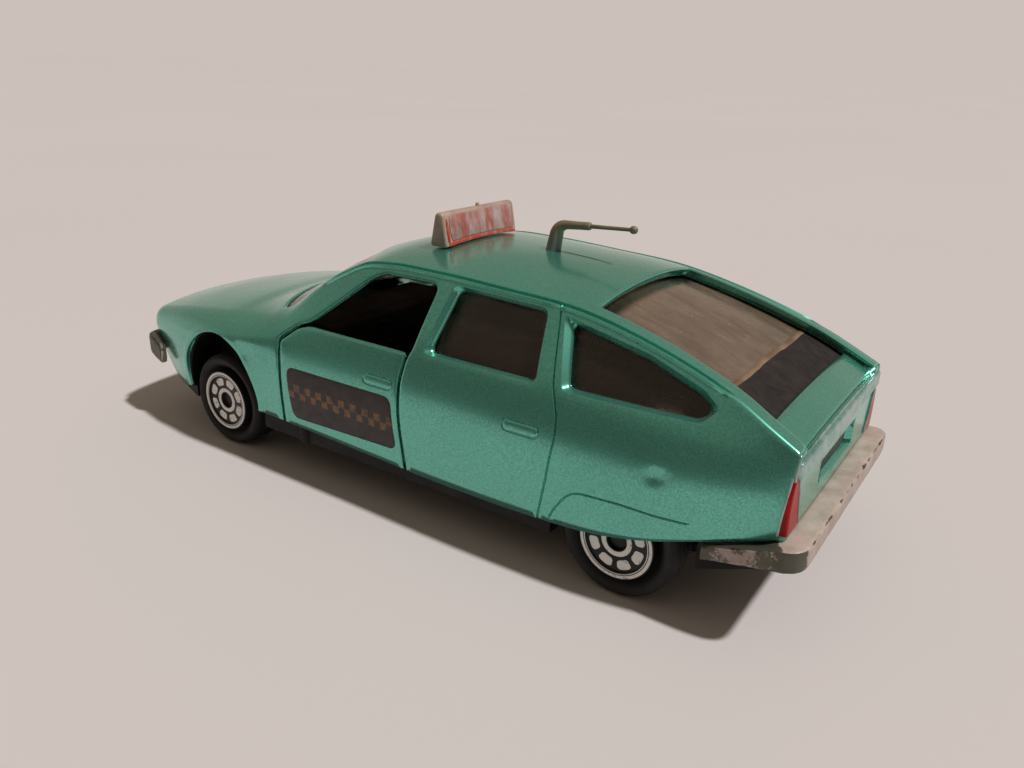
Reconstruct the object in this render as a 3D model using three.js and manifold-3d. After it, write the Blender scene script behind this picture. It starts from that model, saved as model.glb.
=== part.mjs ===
// A 1:43 die-cast toy saloon in taxi trim: a painted shell on a plastic base plate, with front doors that
// open, wheels that roll on steel axles, a clear window moulding, a roof sign and a roof aerial.
// Millimetres. +X points to the nose, +Y to the car's left side and +Z up. The wheels stand on z = 0.
import * as THREE from 'three';
import { mergeVertices } from 'three/addons/utils/BufferGeometryUtils.js';
import Module from 'manifold-3d';

const wasm = await Module();
wasm.setup();

// Driving dimensions: the whole car
const WHEELBASE = 66.2;
const FRONT_OVERHANG = 22; // front axle to the face of the front bumper
const REAR_OVERHANG = 19.8; // rear axle to the face of the rear bumper
const HALF_WIDTH = 20.4; // at the widest line of the body side
const SILL_HEIGHT = 7; // lower edge of the body between the wheels
const BELT_HEIGHT = 21.8; // body side just under the windows
const ROOF_HEIGHT = 33.5; // top of the roof

// Body casting
const WALL = 1.2;
const NOSE_WALL = 2.4;
const NOSE_BOW = 2; // how far the middle of the nose stands ahead of its corners
const ROOF_CROWN = 2.2; // power of the curve from the roof edge to its middle
const FRONT_BUMPER_STAND = 2.5; // nose corner to the face of the front bumper
const REAR_BUMPER_STAND = 2.4; // tail panel to the face of the rear bumper
const RAIL_WIDTH = 2.3; // strip beside the rear window
const DECK_DEPTH = 0.9; // deck and rear window below those strips
const DECK_LENGTH = 3.5; // painted deck between the rear window and the tail
const RIB_HEIGHT = 1.9; // raised strip along the top of the tail
const RIB_PROUD = 0.4;
const RIB_INSET = 5.2; // its ends inside the widest line of the body
const PLATE_HALF_WIDTH = 7.2; // number plate recess
const PLATE_BOTTOM = 14.4;
const PLATE_HEIGHT = 3;
const PLATE_DEPTH = 0.6;
const POST_RADIUS = 1.9; // cast posts that the base plate is riveted to
const POST_INSET = 2.8; // rear post from the tail, and three times that for the front post from the nose

// Fits
const FIT = 0.3; // pieces that rest against each other
const SNUG = 0.15; // round pieces in their holes

// Wheels
const TYRE_RADIUS = 7;
const TYRE_WIDTH = 5.5;
const TYRE_DISH = 1.1; // how far the tyre's wall falls back beside the hub
const HUB_RADIUS = 4.6;
const HUB_PROUD = 0.2; // hub face outside the tyre's wall
const HUB_RIM = 0.9; // width of the raised ring round the hub face
const HUB_DISH = 0.35; // how deep the hub face lies inside that ring
const WHEEL_INSET = 1.4; // hub face inside the widest line of the body
const AXLE_RADIUS = 0.8;
const AXLE_SHORT = 0.8; // axle end below the hub face
const AXLE_PLAY = 0.3;
const ARCH_GAP = 1.5; // arch beyond the tyre
const ARCH_RISE = 2.3; // arch centre above the axle

// Base plate
const BASE_BOTTOM = 5;
const BASE_FLOOR = 1;
const BASE_TAIL_RISE = 4.2;
const BASE_NOSE_RISE = 2.6;
const BASE_INSET = 1; // base plate inside the sill
const BASE_RAIL = 2.6; // width of the upstand under the sill
const BASE_REAR_GAP = 1.2; // base plate inside the ends of the rear bumper
const WELL_GAP = 0.5; // wheel well inside the tyre
const INNER_WING = 1; // wall between a front wheel and the middle of the car
const BEARING_LENGTH = 2; // along the axle
const BEARING_WIDTH = 4.2;
const BEARING_CAP = 1.2; // plastic over the axle bore
const RIVET_RADIUS = 0.9;
const RIVET_HEAD = 1.7;
const RIVET_HEAD_HEIGHT = 0.6;
const RIVET_LENGTH = 5;

// Doors and their pins
const DOOR_FRONT = 0.786; // stations along the wheelbase, see station()
const DOOR_REAR = 0.46;
const DOOR_GAP = 0.3;
const HINGE_BACK = 2.7; // pin behind the door's front edge
const HINGE_DEPTH = 2.2; // pin inside the widest line of the body
const HINGE_SWEEP = 3.2; // the door's front edge follows this radius round the pin
const PIN_RADIUS = 0.45;
const KNUCKLE_RADIUS = 1.05;
const KNUCKLE_TOP = 10.5; // above the sill

// Glazing and cabin
const GLASS = 0.8;
const SEAT_GAP = 4; // between the front seats
const CABIN_INSET = 6; // cabin floor inside the widest line of the body
const CABIN_FLOOR = 1;
const STEERING_RADIUS = 3;
const STEERING_RIM = 0.45;

// Bumpers
const BUMPER_HEIGHT = 2.5;
const FRONT_BUMPER_HEIGHT = 3.2;
const FRONT_BUMPER_WRAP = 6.6; // length of its ends along the wings
const BUMPER_WALL = 1.2;
const REAR_BUMPER_INSET = 1.1; // its ends inside the widest line of the body
const REAR_BUMPER_WRAP = 10.2;
const REAR_BUMPER_DEPTH = 1.9;

// Lamps and grille
const LAMP_INNER = 6.8; // headlamp from the middle of the car
const LAMP_INSET = 5.5; // its outer end inside the widest line of the body
const LAMP_HEIGHT = 2.3;
const LAMP_DEPTH = 1;
const LAMP_DROP = 0.9; // top of the lamps under the nose edge
const GRILLE_SLOT = 0.4;
const TAIL_LAMP_WIDTH = 3.2;
const TAIL_LAMP_HEIGHT = 6.2;
const TAIL_LAMP_WRAP = 1.6;

// Roof sign and aerial
const SIGN_HALF_WIDTH = 8;
const SIGN_HEIGHT = 4.1;
const SIGN_FOOT = 2.9; // depth at the roof
const SIGN_TOP = 1.1; // depth at the top
const SIGN_PEG = 0.6;
const SIGN_PEG_SPACING = 9;
const AERIAL_POST = 0.95;
const AERIAL_HEIGHT = 3;
const AERIAL_TUBE_RISE = 0.6; // from the elbow to the end of the tube
const AERIAL_ROD_RISE = 0.3;
const AERIAL_LEAN = 0.7;
const AERIAL_TUBE = 0.5;
const AERIAL_TUBE_LENGTH = 4.6;
const AERIAL_ROD = 0.26;
const AERIAL_ROD_LENGTH = 6;
const AERIAL_BALL = 0.5;
const AERIAL_PEG = 0.6;

// Places that follow from those sizes
const LENGTH = WHEELBASE + FRONT_OVERHANG + REAR_OVERHANG;
const FRONT_AXLE_X = LENGTH / 2 - FRONT_OVERHANG;
const REAR_AXLE_X = FRONT_AXLE_X - WHEELBASE;
const NOSE_X = LENGTH / 2 - FRONT_BUMPER_STAND;
const TAIL_X = REAR_BUMPER_STAND - LENGTH / 2;
const HUB_FACE = HALF_WIDTH - WHEEL_INSET;
const BASE_TOP = BASE_BOTTOM + BASE_FLOOR;
const WELL_INNER = HUB_FACE - HUB_PROUD - TYRE_WIDTH - WELL_GAP;
const REAR_BUMPER_HALF = HALF_WIDTH - REAR_BUMPER_INSET;
const BASE_REAR_HALF = REAR_BUMPER_HALF - BUMPER_WALL - BASE_REAR_GAP;
const RIB_HALF_WIDTH = HALF_WIDTH - RIB_INSET;
const LAMP_OUTER = HALF_WIDTH - LAMP_INSET;
const CABIN_HALF_WIDTH = HALF_WIDTH - CABIN_INSET;
const SEAT_OFFSET = CABIN_HALF_WIDTH / 2;
const SEAT_HALF_WIDTH = SEAT_OFFSET - SEAT_GAP / 2;
const BEYOND = 60; // cutting tools reach past the car

// Finishes
const PAINT = { color: 0x3f8a78, roughness: 0.38, metalness: 0.55 };
const BLACK_PLASTIC = { color: 0x1b1b1c, roughness: 0.6, metalness: 0 };
const CABIN_PLASTIC = { color: 0x241d1a, roughness: 0.7, metalness: 0 };
const CLEAR_PLASTIC = { color: 0x6a5c52, roughness: 0.12, metalness: 0, transparent: true, opacity: 0.55 };
const LENS_PLASTIC = { color: 0xdfe4e4, roughness: 0.12, metalness: 0 };
const RED_PLASTIC = { color: 0xa8141a, roughness: 0.25, metalness: 0 };
const WORN_PLATING = { color: 0xa8977c, roughness: 0.5, metalness: 0.25 };
const CREAM_PLASTIC = { color: 0x9c8870, roughness: 0.55, metalness: 0 };
const BEIGE_PLASTIC = { color: 0x7f7354, roughness: 0.55, metalness: 0 };
const RUBBER = { color: 0x262626, roughness: 0.8, metalness: 0 };
const STEEL = { color: 0xa9abad, roughness: 0.35, metalness: 0.9 };

// A smooth line through knots [place, value]
function through(knots) {
  const slopes = knots.slice(1).map(([x, y], i) => (y - knots[i][1]) / (x - knots[i][0]));
  const tangents = knots.map(([x], i) => {
    if (i === 0) return slopes[0];
    if (i === slopes.length) return slopes[i - 1];
    const before = x - knots[i - 1][0];
    const after = knots[i + 1][0] - x;
    return (slopes[i - 1] * after + slopes[i] * before) / (before + after);
  });
  return (x) => {
    let i = 0;
    while (i < slopes.length - 1 && x > knots[i + 1][0]) i += 1;
    const h = knots[i + 1][0] - knots[i][0];
    const t = (x - knots[i][0]) / h;
    const start = (1 + 2 * t) * (1 - t) ** 2 * knots[i][1] + t * (1 - t) ** 2 * h * tangents[i];
    return start + t * t * (3 - 2 * t) * knots[i + 1][1] + t * t * (t - 1) * h * tangents[i + 1];
  };
}

// A place along the car: -1 is the tail, 0 the rear axle, 1 the front axle and 2 the nose corner
function station(s) {
  if (s < 0) return REAR_AXLE_X - s * (TAIL_X - REAR_AXLE_X);
  if (s > 1) return FRONT_AXLE_X + (s - 1) * (NOSE_X - FRONT_AXLE_X);
  return REAR_AXLE_X + s * WHEELBASE;
}

// A key line of the body, from knots [station, value]
function keyLine(knots) {
  return through(knots.map(([s, value]) => [station(s), value]));
}

// Heights as shares of the body side below the belt, and of the cabin above it
function aboveSill(share) {
  return SILL_HEIGHT + share * (BELT_HEIGHT - SILL_HEIGHT);
}
function belowBelt(share) {
  return BELT_HEIGHT - share * (BELT_HEIGHT - SILL_HEIGHT);
}
function aboveBelt(share) {
  return BELT_HEIGHT + share * (ROOF_HEIGHT - BELT_HEIGHT);
}
function wide(share) {
  return share * HALF_WIDTH;
}

// Key lines of the left body side: height and half width of the sill, widest line, belt and roof edge
const sillZ = keyLine([
  [-1, aboveSill(0.392)], [-0.68, aboveSill(0.297)], [-0.45, aboveSill(0.216)], [-0.22, aboveSill(0.135)],
  [0, aboveSill(0.074)], [0.08, aboveSill(0.02)], [0.15, aboveSill(0)], [0.37, aboveSill(-0.014)],
  [0.52, aboveSill(0.007)], [0.74, aboveSill(0.041)], [0.88, aboveSill(0.054)], [1.41, aboveSill(0.027)],
  [1.59, aboveSill(-0.007)], [1.79, aboveSill(0.149)], [1.92, aboveSill(0.351)], [2, aboveSill(0.459)],
]);
const sillY = keyLine([
  [-1, wide(0.853)], [-0.68, wide(0.922)], [-0.33, wide(0.966)], [0, wide(0.98)], [0.1, wide(0.975)],
  [0.52, wide(0.966)], [0.88, wide(0.963)], [1.2, wide(0.951)], [1.46, wide(0.912)], [1.72, wide(0.853)],
  [2, wide(0.799)],
]);
const wideZ = keyLine([
  [-1, aboveSill(0.541)], [-0.4, aboveSill(0.527)], [0.06, aboveSill(0.588)], [0.52, aboveSill(0.608)],
  [0.82, aboveSill(0.595)], [1.2, aboveSill(0.561)], [2, aboveSill(0.541)],
]);
const wideY = keyLine([
  [-1, wide(0.868)], [-0.68, wide(0.936)], [-0.33, wide(0.98)], [0.06, wide(1)], [0.52, wide(0.99)],
  [0.88, wide(0.987)], [1.1, wide(0.975)], [1.46, wide(0.931)], [1.77, wide(0.863)], [2, wide(0.809)],
]);
const beltZ = keyLine([
  [-1, belowBelt(0.189)], [-0.68, belowBelt(0.122)], [-0.33, belowBelt(0.054)], [0.06, belowBelt(0)],
  [0.52, belowBelt(0)], [0.7, belowBelt(0.027)], [0.85, belowBelt(0.108)], [1, belowBelt(0.189)],
  [1.62, belowBelt(0.297)], [2, belowBelt(0.372)],
]);
const beltY = keyLine([
  [-1, wide(0.848)], [-0.68, wide(0.892)], [-0.33, wide(0.912)], [0.06, wide(0.926)], [0.52, wide(0.929)],
  [0.7, wide(0.931)], [0.85, wide(0.934)], [1, wide(0.929)], [1.46, wide(0.887)], [1.77, wide(0.838)],
  [2, wide(0.799)],
]);
const edgeY = keyLine([
  [-1, wide(0.824)], [-0.8, wide(0.804)], [-0.63, wide(0.779)], [-0.4, wide(0.755)], [0.02, wide(0.721)],
  [0.12, wide(0.706)], [0.29, wide(0.706)], [0.44, wide(0.711)], [0.55, wide(0.716)], [0.61, wide(0.725)],
  [0.65, wide(0.74)], [0.73, wide(0.799)], [0.8, wide(0.848)], [0.85, wide(0.858)], [1, wide(0.848)],
  [1.62, wide(0.814)], [2, wide(0.775)],
]);
const edgeZ = keyLine([
  [-1, aboveBelt(0.009)], [-0.8, aboveBelt(0.162)], [-0.63, aboveBelt(0.291)], [-0.4, aboveBelt(0.419)],
  [0.02, aboveBelt(0.632)], [0.12, aboveBelt(0.752)], [0.29, aboveBelt(0.821)], [0.44, aboveBelt(0.855)],
  [0.55, aboveBelt(0.838)], [0.61, aboveBelt(0.778)], [0.65, aboveBelt(0.667)], [0.73, aboveBelt(0.385)],
  [0.8, aboveBelt(0.077)], [0.85, belowBelt(0.02)], [1, belowBelt(0.095)], [1.62, belowBelt(0.209)],
  [2, belowBelt(0.304)],
]);
// Height along the middle of the car: deck, rear window, roof, windscreen and bonnet
const topZ = keyLine([
  [-1, aboveBelt(0.043)], [-0.8, aboveBelt(0.205)], [-0.33, aboveBelt(0.53)], [0.02, aboveBelt(0.735)],
  [0.12, aboveBelt(0.889)], [0.275, aboveBelt(0.983)], [0.4, aboveBelt(1)], [0.52, aboveBelt(0.983)],
  [0.59, aboveBelt(0.957)], [0.65, aboveBelt(0.897)], [0.73, aboveBelt(0.752)], [0.82, aboveBelt(0.479)],
  [0.895, aboveBelt(0.205)], [0.94, aboveBelt(0.077)], [1, aboveBelt(0.034)], [1.31, belowBelt(0.041)],
  [1.67, belowBelt(0.128)], [2, belowBelt(0.25)],
]);

// Stations where the body's cross-sections are taken, close together where its lines turn
const STATIONS = [
  -1, -0.9, -0.8, -0.63, -0.4, -0.2, 0, 0.06, 0.12, 0.2, 0.29, 0.37, 0.44, 0.5, 0.55, 0.58, 0.61, 0.63, 0.65,
  0.69, 0.73, 0.77, 0.8, 0.82, 0.85, 0.88, 0.94, 1, 1.1, 1.2, 1.31, 1.46, 1.59, 1.7, 1.79, 1.86, 1.92, 2,
];
const LOWER_STEPS = 2; // sill to the widest line
const UPPER_STEPS = 3; // widest line to the belt
const WINDOW_STEPS = 2; // belt to the roof edge
const TOP_STEPS = 4; // roof edge to the middle

function roofZ(x, y) {
  const share = Math.abs(y) / edgeY(x);
  return topZ(x) - (topZ(x) - edgeZ(x)) * share ** ROOF_CROWN;
}

// Outline [y, z] of the body across the car at x, from the left sill over the roof to the right sill
function crossSection(x) {
  const heights = [sillZ(x), wideZ(x), beltZ(x), edgeZ(x)];
  const widths = [sillY(x), wideY(x), beltY(x), edgeY(x)];
  const side = through(heights.map((z, i) => [z, widths[i]]));
  const left = [];
  [LOWER_STEPS, UPPER_STEPS, WINDOW_STEPS].forEach((steps, band) => {
    for (let i = 0; i < steps; i += 1) {
      const z = THREE.MathUtils.lerp(heights[band], heights[band + 1], i / steps);
      left.push([side(z), z]);
    }
  });
  for (let i = 0; i < TOP_STEPS; i += 1) {
    const y = edgeY(x) * (1 - i / TOP_STEPS);
    left.push([y, roofZ(x, y)]);
  }
  const right = left.map(([y, z]) => [-y, z]).reverse();
  return [...left, [0, topZ(x)], ...right];
}

// The same outline moved inwards
function insetSection(x, depth) {
  const outline = crossSection(x);
  return outline.map(([y, z], i) => {
    const [y0, z0] = outline[Math.max(i - 1, 0)];
    const [y1, z1] = outline[Math.min(i + 1, outline.length - 1)];
    const size = Math.hypot(y1 - y0, z1 - z0);
    return [y + (depth * (z0 - z1)) / size, z + (depth * (y1 - y0)) / size];
  });
}

// The nose is bowed forwards in plan
function bow(x, y) {
  const ahead = Math.max(0, (x - FRONT_AXLE_X) / (NOSE_X - FRONT_AXLE_X));
  return NOSE_BOW * ahead * ahead * Math.max(0, 1 - (y / edgeY(x)) ** 2);
}

// A closed solid through rings of points, all with the same count, with flat ends
function loft(rings) {
  const count = rings[0].length;
  const positions = rings.flat(2);
  const faces = [];
  for (let r = 0; r + 1 < rings.length; r += 1) {
    for (let i = 0; i < count; i += 1) {
      const a = r * count + i;
      const b = r * count + ((i + 1) % count);
      faces.push(a, b, a + count, b, b + count, a + count);
    }
  }
  const [first, second] = [rings[0], rings[rings.length - 1]];
  const last = (rings.length - 1) * count;
  flatFaces(first).forEach(([a, b, c]) => faces.push(c, b, a));
  flatFaces(second).forEach(([a, b, c]) => faces.push(last + a, last + b, last + c));
  const geometry = new THREE.BufferGeometry();
  geometry.setAttribute('position', new THREE.Float32BufferAttribute(positions, 3));
  geometry.setIndex(faces);
  return outwards(geometry);
}

// Triangles that close a flat ring, seen along the axis that it is thinnest in
function flatFaces(ring) {
  const box = new THREE.Box3().setFromPoints(ring.map((p) => new THREE.Vector3(...p)));
  const size = box.getSize(new THREE.Vector3()).toArray();
  const thin = size.indexOf(Math.min(...size));
  const [u, v] = [(thin + 1) % 3, (thin + 2) % 3];
  const contour = ring.map((p) => new THREE.Vector2(p[u], p[v]));
  const turned = THREE.ShapeUtils.isClockWise(contour);
  const faces = THREE.ShapeUtils.triangulateShape(contour, []);
  return turned ? faces.map(([a, b, c]) => [c, b, a]) : faces;
}

// Turns a closed mesh's faces outwards where they point in
function outwards(geometry) {
  const index = geometry.getIndex().array;
  const position = geometry.getAttribute('position');
  const [a, b, c] = [new THREE.Vector3(), new THREE.Vector3(), new THREE.Vector3()];
  let volume = 0;
  for (let i = 0; i < index.length; i += 3) {
    a.fromBufferAttribute(position, index[i]);
    b.fromBufferAttribute(position, index[i + 1]);
    c.fromBufferAttribute(position, index[i + 2]);
    volume += a.dot(b.cross(c));
  }
  if (volume < 0) geometry.setIndex(Array.from(index).reverse());
  return geometry;
}

// A geometry as a solid that can be joined and cut
function solid(geometry) {
  const bare = geometry.clone();
  bare.deleteAttribute('normal');
  bare.deleteAttribute('uv');
  const merged = mergeVertices(bare, 1e-4);
  const vertProperties = new Float32Array(merged.getAttribute('position').array);
  const triVerts = new Uint32Array(merged.getIndex().array);
  return new wasm.Manifold(new wasm.Mesh({ numProp: 3, vertProperties, triVerts }));
}

function geometryOf(body) {
  const { vertProperties, triVerts } = body.getMesh();
  const geometry = new THREE.BufferGeometry();
  geometry.setAttribute('position', new THREE.BufferAttribute(vertProperties, 3));
  geometry.setIndex(new THREE.BufferAttribute(triVerts, 1));
  geometry.computeVertexNormals();
  return geometry;
}

function box(x0, x1, y0, y1, z0, z1) {
  const geometry = new THREE.BoxGeometry(x1 - x0, y1 - y0, z1 - z0);
  return solid(geometry.translate((x0 + x1) / 2, (y0 + y1) / 2, (z0 + z1) / 2));
}

// A cylinder between two points
function rod(start, end, radius, sides = 16) {
  const from = new THREE.Vector3(...start);
  const along = new THREE.Vector3(...end).sub(from);
  const geometry = new THREE.CylinderGeometry(radius, radius, along.length(), sides);
  geometry.translate(0, along.length() / 2, 0);
  const upright = new THREE.Vector3(0, 1, 0);
  geometry.applyQuaternion(new THREE.Quaternion().setFromUnitVectors(upright, along.normalize()));
  return solid(geometry.translate(...start));
}

// A closed outline through corners, each rounded by a radius
function rounded(corners, radius) {
  const points = corners.map(([u, v]) => new THREE.Vector2(u, v));
  const shape = new THREE.Shape();
  points.forEach((corner, i) => {
    const before = points[(i + points.length - 1) % points.length].clone().sub(corner);
    const after = points[(i + 1) % points.length].clone().sub(corner);
    const cut = Math.min(radius, before.length() / 2.2, after.length() / 2.2);
    const start = corner.clone().add(before.setLength(cut));
    const end = corner.clone().add(after.setLength(cut));
    if (i === 0) shape.moveTo(start.x, start.y);
    else shape.lineTo(start.x, start.y);
    shape.quadraticCurveTo(corner.x, corner.y, end.x, end.y);
  });
  shape.closePath();
  return shape;
}

const CURVE_SEGMENTS = 4;

// An outline in side view [x, z], as a solid between two places across the car
function sidePrism(shape, y0, y1) {
  const geometry = new THREE.ExtrudeGeometry(shape, {
    depth: y1 - y0, bevelEnabled: false, curveSegments: CURVE_SEGMENTS, steps: 1,
  });
  return solid(geometry.rotateX(Math.PI / 2).translate(0, y1, 0));
}

// An outline in plan [x, y], as a solid between two heights
function planPrism(shape, z0, z1) {
  const geometry = new THREE.ExtrudeGeometry(shape, {
    depth: z1 - z0, bevelEnabled: false, curveSegments: CURVE_SEGMENTS, steps: 1,
  });
  return solid(geometry.translate(0, 0, z0));
}

// An outline seen from ahead [y, z], as a solid between two places along the car
function frontPrism(shape, x0, x1) {
  const geometry = new THREE.ExtrudeGeometry(shape, {
    depth: x1 - x0, bevelEnabled: false, curveSegments: CURVE_SEGMENTS, steps: 1,
  });
  geometry.rotateX(Math.PI / 2).rotateZ(Math.PI / 2);
  return solid(geometry.translate(x0, 0, 0));
}

function mirrored(body) {
  return body.mirror([0, 1, 0]);
}

const car = new THREE.Group();

function addPiece(name, shape, finish, parent = car) {
  const geometry = shape.isBufferGeometry ? shape : geometryOf(shape);
  const piece = new THREE.Mesh(geometry, new THREE.MeshStandardMaterial(finish));
  piece.name = name;
  parent.add(piece);
  return piece;
}

// Body lofts: the outside, and hollows at any depth below it
function placesBetween(x0, x1) {
  const spare = 0.4;
  const inner = STATIONS.map(station).filter((x) => x > x0 + spare && x < x1 - spare);
  return [x0, ...inner, x1];
}

function hollow(depth, x0, x1) {
  return solid(loft(placesBetween(x0, x1).map((x) => {
    const ring = insetSection(x, depth);
    const last = ring[ring.length - 1];
    const legs = [[ring[0][0], -BEYOND], ...ring, [last[0], -BEYOND]];
    return legs.map(([y, z]) => [x + bow(x, y), y, z]);
  })));
}

const outside = solid(loft(STATIONS.map((s) => {
  const x = station(s);
  return crossSection(x).map(([y, z]) => [x + bow(x, y), y, z]);
})));
const inside = hollow(WALL, TAIL_X + WALL, NOSE_X - NOSE_WALL);

// Half width of the body side at a place and height
function sideY(x, z) {
  const heights = [sillZ(x), wideZ(x), beltZ(x), edgeZ(x)];
  const widths = [sillY(x), wideY(x), beltY(x), edgeY(x)];
  return through(heights.map((height, i) => [height, widths[i]]))(z);
}

// Openings in the body side, as outlines [x, z]
const SIDE_PANE_BOTTOM = BELT_HEIGHT + 1.3;
const rearPane = rounded([
  [station(0.376), ROOF_HEIGHT - 3], [station(0.193), ROOF_HEIGHT - 3.5], [station(0.177), SIDE_PANE_BOTTOM],
  [station(0.405), SIDE_PANE_BOTTOM],
], 0.8);
const quarterPane = rounded([
  [station(0.14), ROOF_HEIGHT - 3.9], [station(-0.03), ROOF_HEIGHT - 6], [station(-0.385), BELT_HEIGHT + 3.6],
  [station(-0.49), BELT_HEIGHT + 2.2], [station(-0.42), BELT_HEIGHT + 1.2], [station(0.112), SIDE_PANE_BOTTOM],
], 1);
const frontWindow = rounded([
  [station(0.722), BELT_HEIGHT + 0.3], [station(0.588), ROOF_HEIGHT - 4], [station(0.556), ROOF_HEIGHT - 2.7],
  [station(0.42), ROOF_HEIGHT - 2.7], [station(0.447), BELT_HEIGHT + 0.3],
], 1.2);

// Seen from ahead, the windscreen opening [y, z]
const SCREEN_BOTTOM = BELT_HEIGHT + 1.9;
const SCREEN_TOP = ROOF_HEIGHT - 2.4;
const SCREEN_HALF_BOTTOM = HALF_WIDTH - 4.4;
const SCREEN_HALF_TOP = HALF_WIDTH - 7.2;
const windscreen = rounded([
  [SCREEN_HALF_BOTTOM, SCREEN_BOTTOM], [SCREEN_HALF_TOP, SCREEN_TOP], [-SCREEN_HALF_TOP, SCREEN_TOP],
  [-SCREEN_HALF_BOTTOM, SCREEN_BOTTOM],
], 1.2);
const SCREEN_FROM_X = station(0.64);

// The rear window and the sunken deck behind it, in plan
const REAR_PANE_TOP = station(0.105);
const REAR_PANE_BOTTOM = TAIL_X + DECK_LENGTH;
const PANE_LEDGE = 0.3;
function railInside(x) {
  return edgeY(x) - RAIL_WIDTH;
}
const rearWindow = rounded([
  [REAR_PANE_TOP, railInside(REAR_PANE_TOP) - PANE_LEDGE],
  [REAR_PANE_BOTTOM, railInside(REAR_PANE_BOTTOM) - PANE_LEDGE],
  [REAR_PANE_BOTTOM, PANE_LEDGE - railInside(REAR_PANE_BOTTOM)],
  [REAR_PANE_TOP, PANE_LEDGE - railInside(REAR_PANE_TOP)],
], 0.6);

// A slab that follows the top of the body between the rails, from one depth to another
function deckSlab(x0, x1, spread, upper, lower) {
  const steps = 6;
  return solid(loft(placesBetween(x0, x1).map((x) => {
    const half = railInside(x) + spread;
    const across = Array.from({ length: steps + 1 }, (_, i) => half - (2 * half * i) / steps);
    const above = across.map((y) => [x, y, upper(x, y)]);
    const below = across.map((y) => [x, y, lower(x, y)]).reverse();
    return [...above, ...below];
  })));
}

// Doors: outline [x, z], pin, and the round cut that lets the front edge pass the wing
const PIN_X = station(DOOR_FRONT) - HINGE_BACK;
const PIN_Y = HALF_WIDTH - HINGE_DEPTH;
const DOOR_TOP = BELT_HEIGHT + 0.6;
const DOOR_FRONT_DROP = 2.6; // the top of the door falls away under the windscreen post
function doorOutline(grow) {
  const front = PIN_X + HINGE_SWEEP + 1;
  const rear = station(DOOR_REAR) - grow;
  return rounded([
    [rear - 0.5, SILL_HEIGHT - 3], [rear + 0.3, BELT_HEIGHT - 3], [rear - 0.3, DOOR_TOP + grow],
    [station(0.715), DOOR_TOP + grow], [station(0.745), DOOR_TOP - 0.6 + grow],
    [front, DOOR_TOP - DOOR_FRONT_DROP - 0.8 + grow], [front, SILL_HEIGHT - 3],
  ], 0.8);
}
function aheadOfSweep(radius) {
  const ahead = box(PIN_X, BEYOND, 0, BEYOND, -BEYOND, BEYOND);
  return ahead.subtract(rod([PIN_X, PIN_Y, -BEYOND], [PIN_X, PIN_Y, BEYOND], radius, 48));
}
const CABIN_CUT = HALF_WIDTH - 10; // side cuts start this far from the middle
const doorway = sidePrism(doorOutline(DOOR_GAP), CABIN_CUT, BEYOND)
  .subtract(aheadOfSweep(HINGE_SWEEP + DOOR_GAP));

function handle(x, z) {
  const half = 2.3;
  const y = sideY(x, z);
  return box(x - half, x + half, y - 0.6, y + 0.2, z - 0.45, z + 0.45);
}
const HANDLE_DROP = 3.8; // below the belt
const frontHandle = handle(station(DOOR_REAR) + 3.6, BELT_HEIGHT - HANDLE_DROP);
const rearHandle = handle(station(0.185), BELT_HEIGHT - HANDLE_DROP - 0.3);

// Tail lamp corner: a wedge that widens downwards
const TAIL_LAMP_BOTTOM = sillZ(TAIL_X) + 0.5;
function tailWedge(grow) {
  const top = TAIL_LAMP_BOTTOM + TAIL_LAMP_HEIGHT + grow;
  const bottom = TAIL_LAMP_BOTTOM - grow;
  const corner = wideY(TAIL_X) + 1;
  const level = (z, share) => {
    const inner = corner - 1 - TAIL_LAMP_WIDTH * share - grow;
    const wrap = TAIL_X + TAIL_LAMP_WRAP * share + grow;
    return [[TAIL_X - 2, inner, z], [TAIL_X + 0.4, inner, z], [wrap, corner, z], [TAIL_X - 2, corner, z]];
  };
  return solid(loft([level(bottom, 1), level(top, 0.25)]));
}

// Nose lamps and grille: blocks across the nose
const LAMP_TOP = edgeZ(NOSE_X) - LAMP_DROP;
const GRILLE_HALF_WIDTH = LAMP_INNER - 2 * SNUG - FIT;
function noseBlock(y0, y1, grow, depth) {
  return box(NOSE_X - depth, BEYOND, y0 - grow, y1 + grow, LAMP_TOP - LAMP_HEIGHT - grow, LAMP_TOP + grow);
}

// Places of the roof sign, the aerial and the riveted posts
const SIGN_X = station(0.51);
const AERIAL_X = station(0.32);
const pegPlaces = [-SIGN_PEG_SPACING / 2, SIGN_PEG_SPACING / 2];
const frontPostX = NOSE_X - 3 * POST_INSET;
const rearPostX = TAIL_X + POST_INSET;
// Lower face of the base plate, which rises behind the rear wheels and ahead of the front ones
const baseZ = keyLine([
  [-1, BASE_BOTTOM + BASE_TAIL_RISE], [-0.7, BASE_BOTTOM + 0.55 * BASE_TAIL_RISE],
  [-0.45, BASE_BOTTOM + 0.12 * BASE_TAIL_RISE], [-0.3, BASE_BOTTOM], [-0.2, BASE_BOTTOM],
  [1.2, BASE_BOTTOM], [1.35, BASE_BOTTOM], [2, BASE_BOTTOM + BASE_NOSE_RISE],
]);
function postFoot(x) {
  return Math.max(baseZ(x - POST_RADIUS), baseZ(x + POST_RADIUS)) + BASE_FLOOR + FIT;
}

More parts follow.
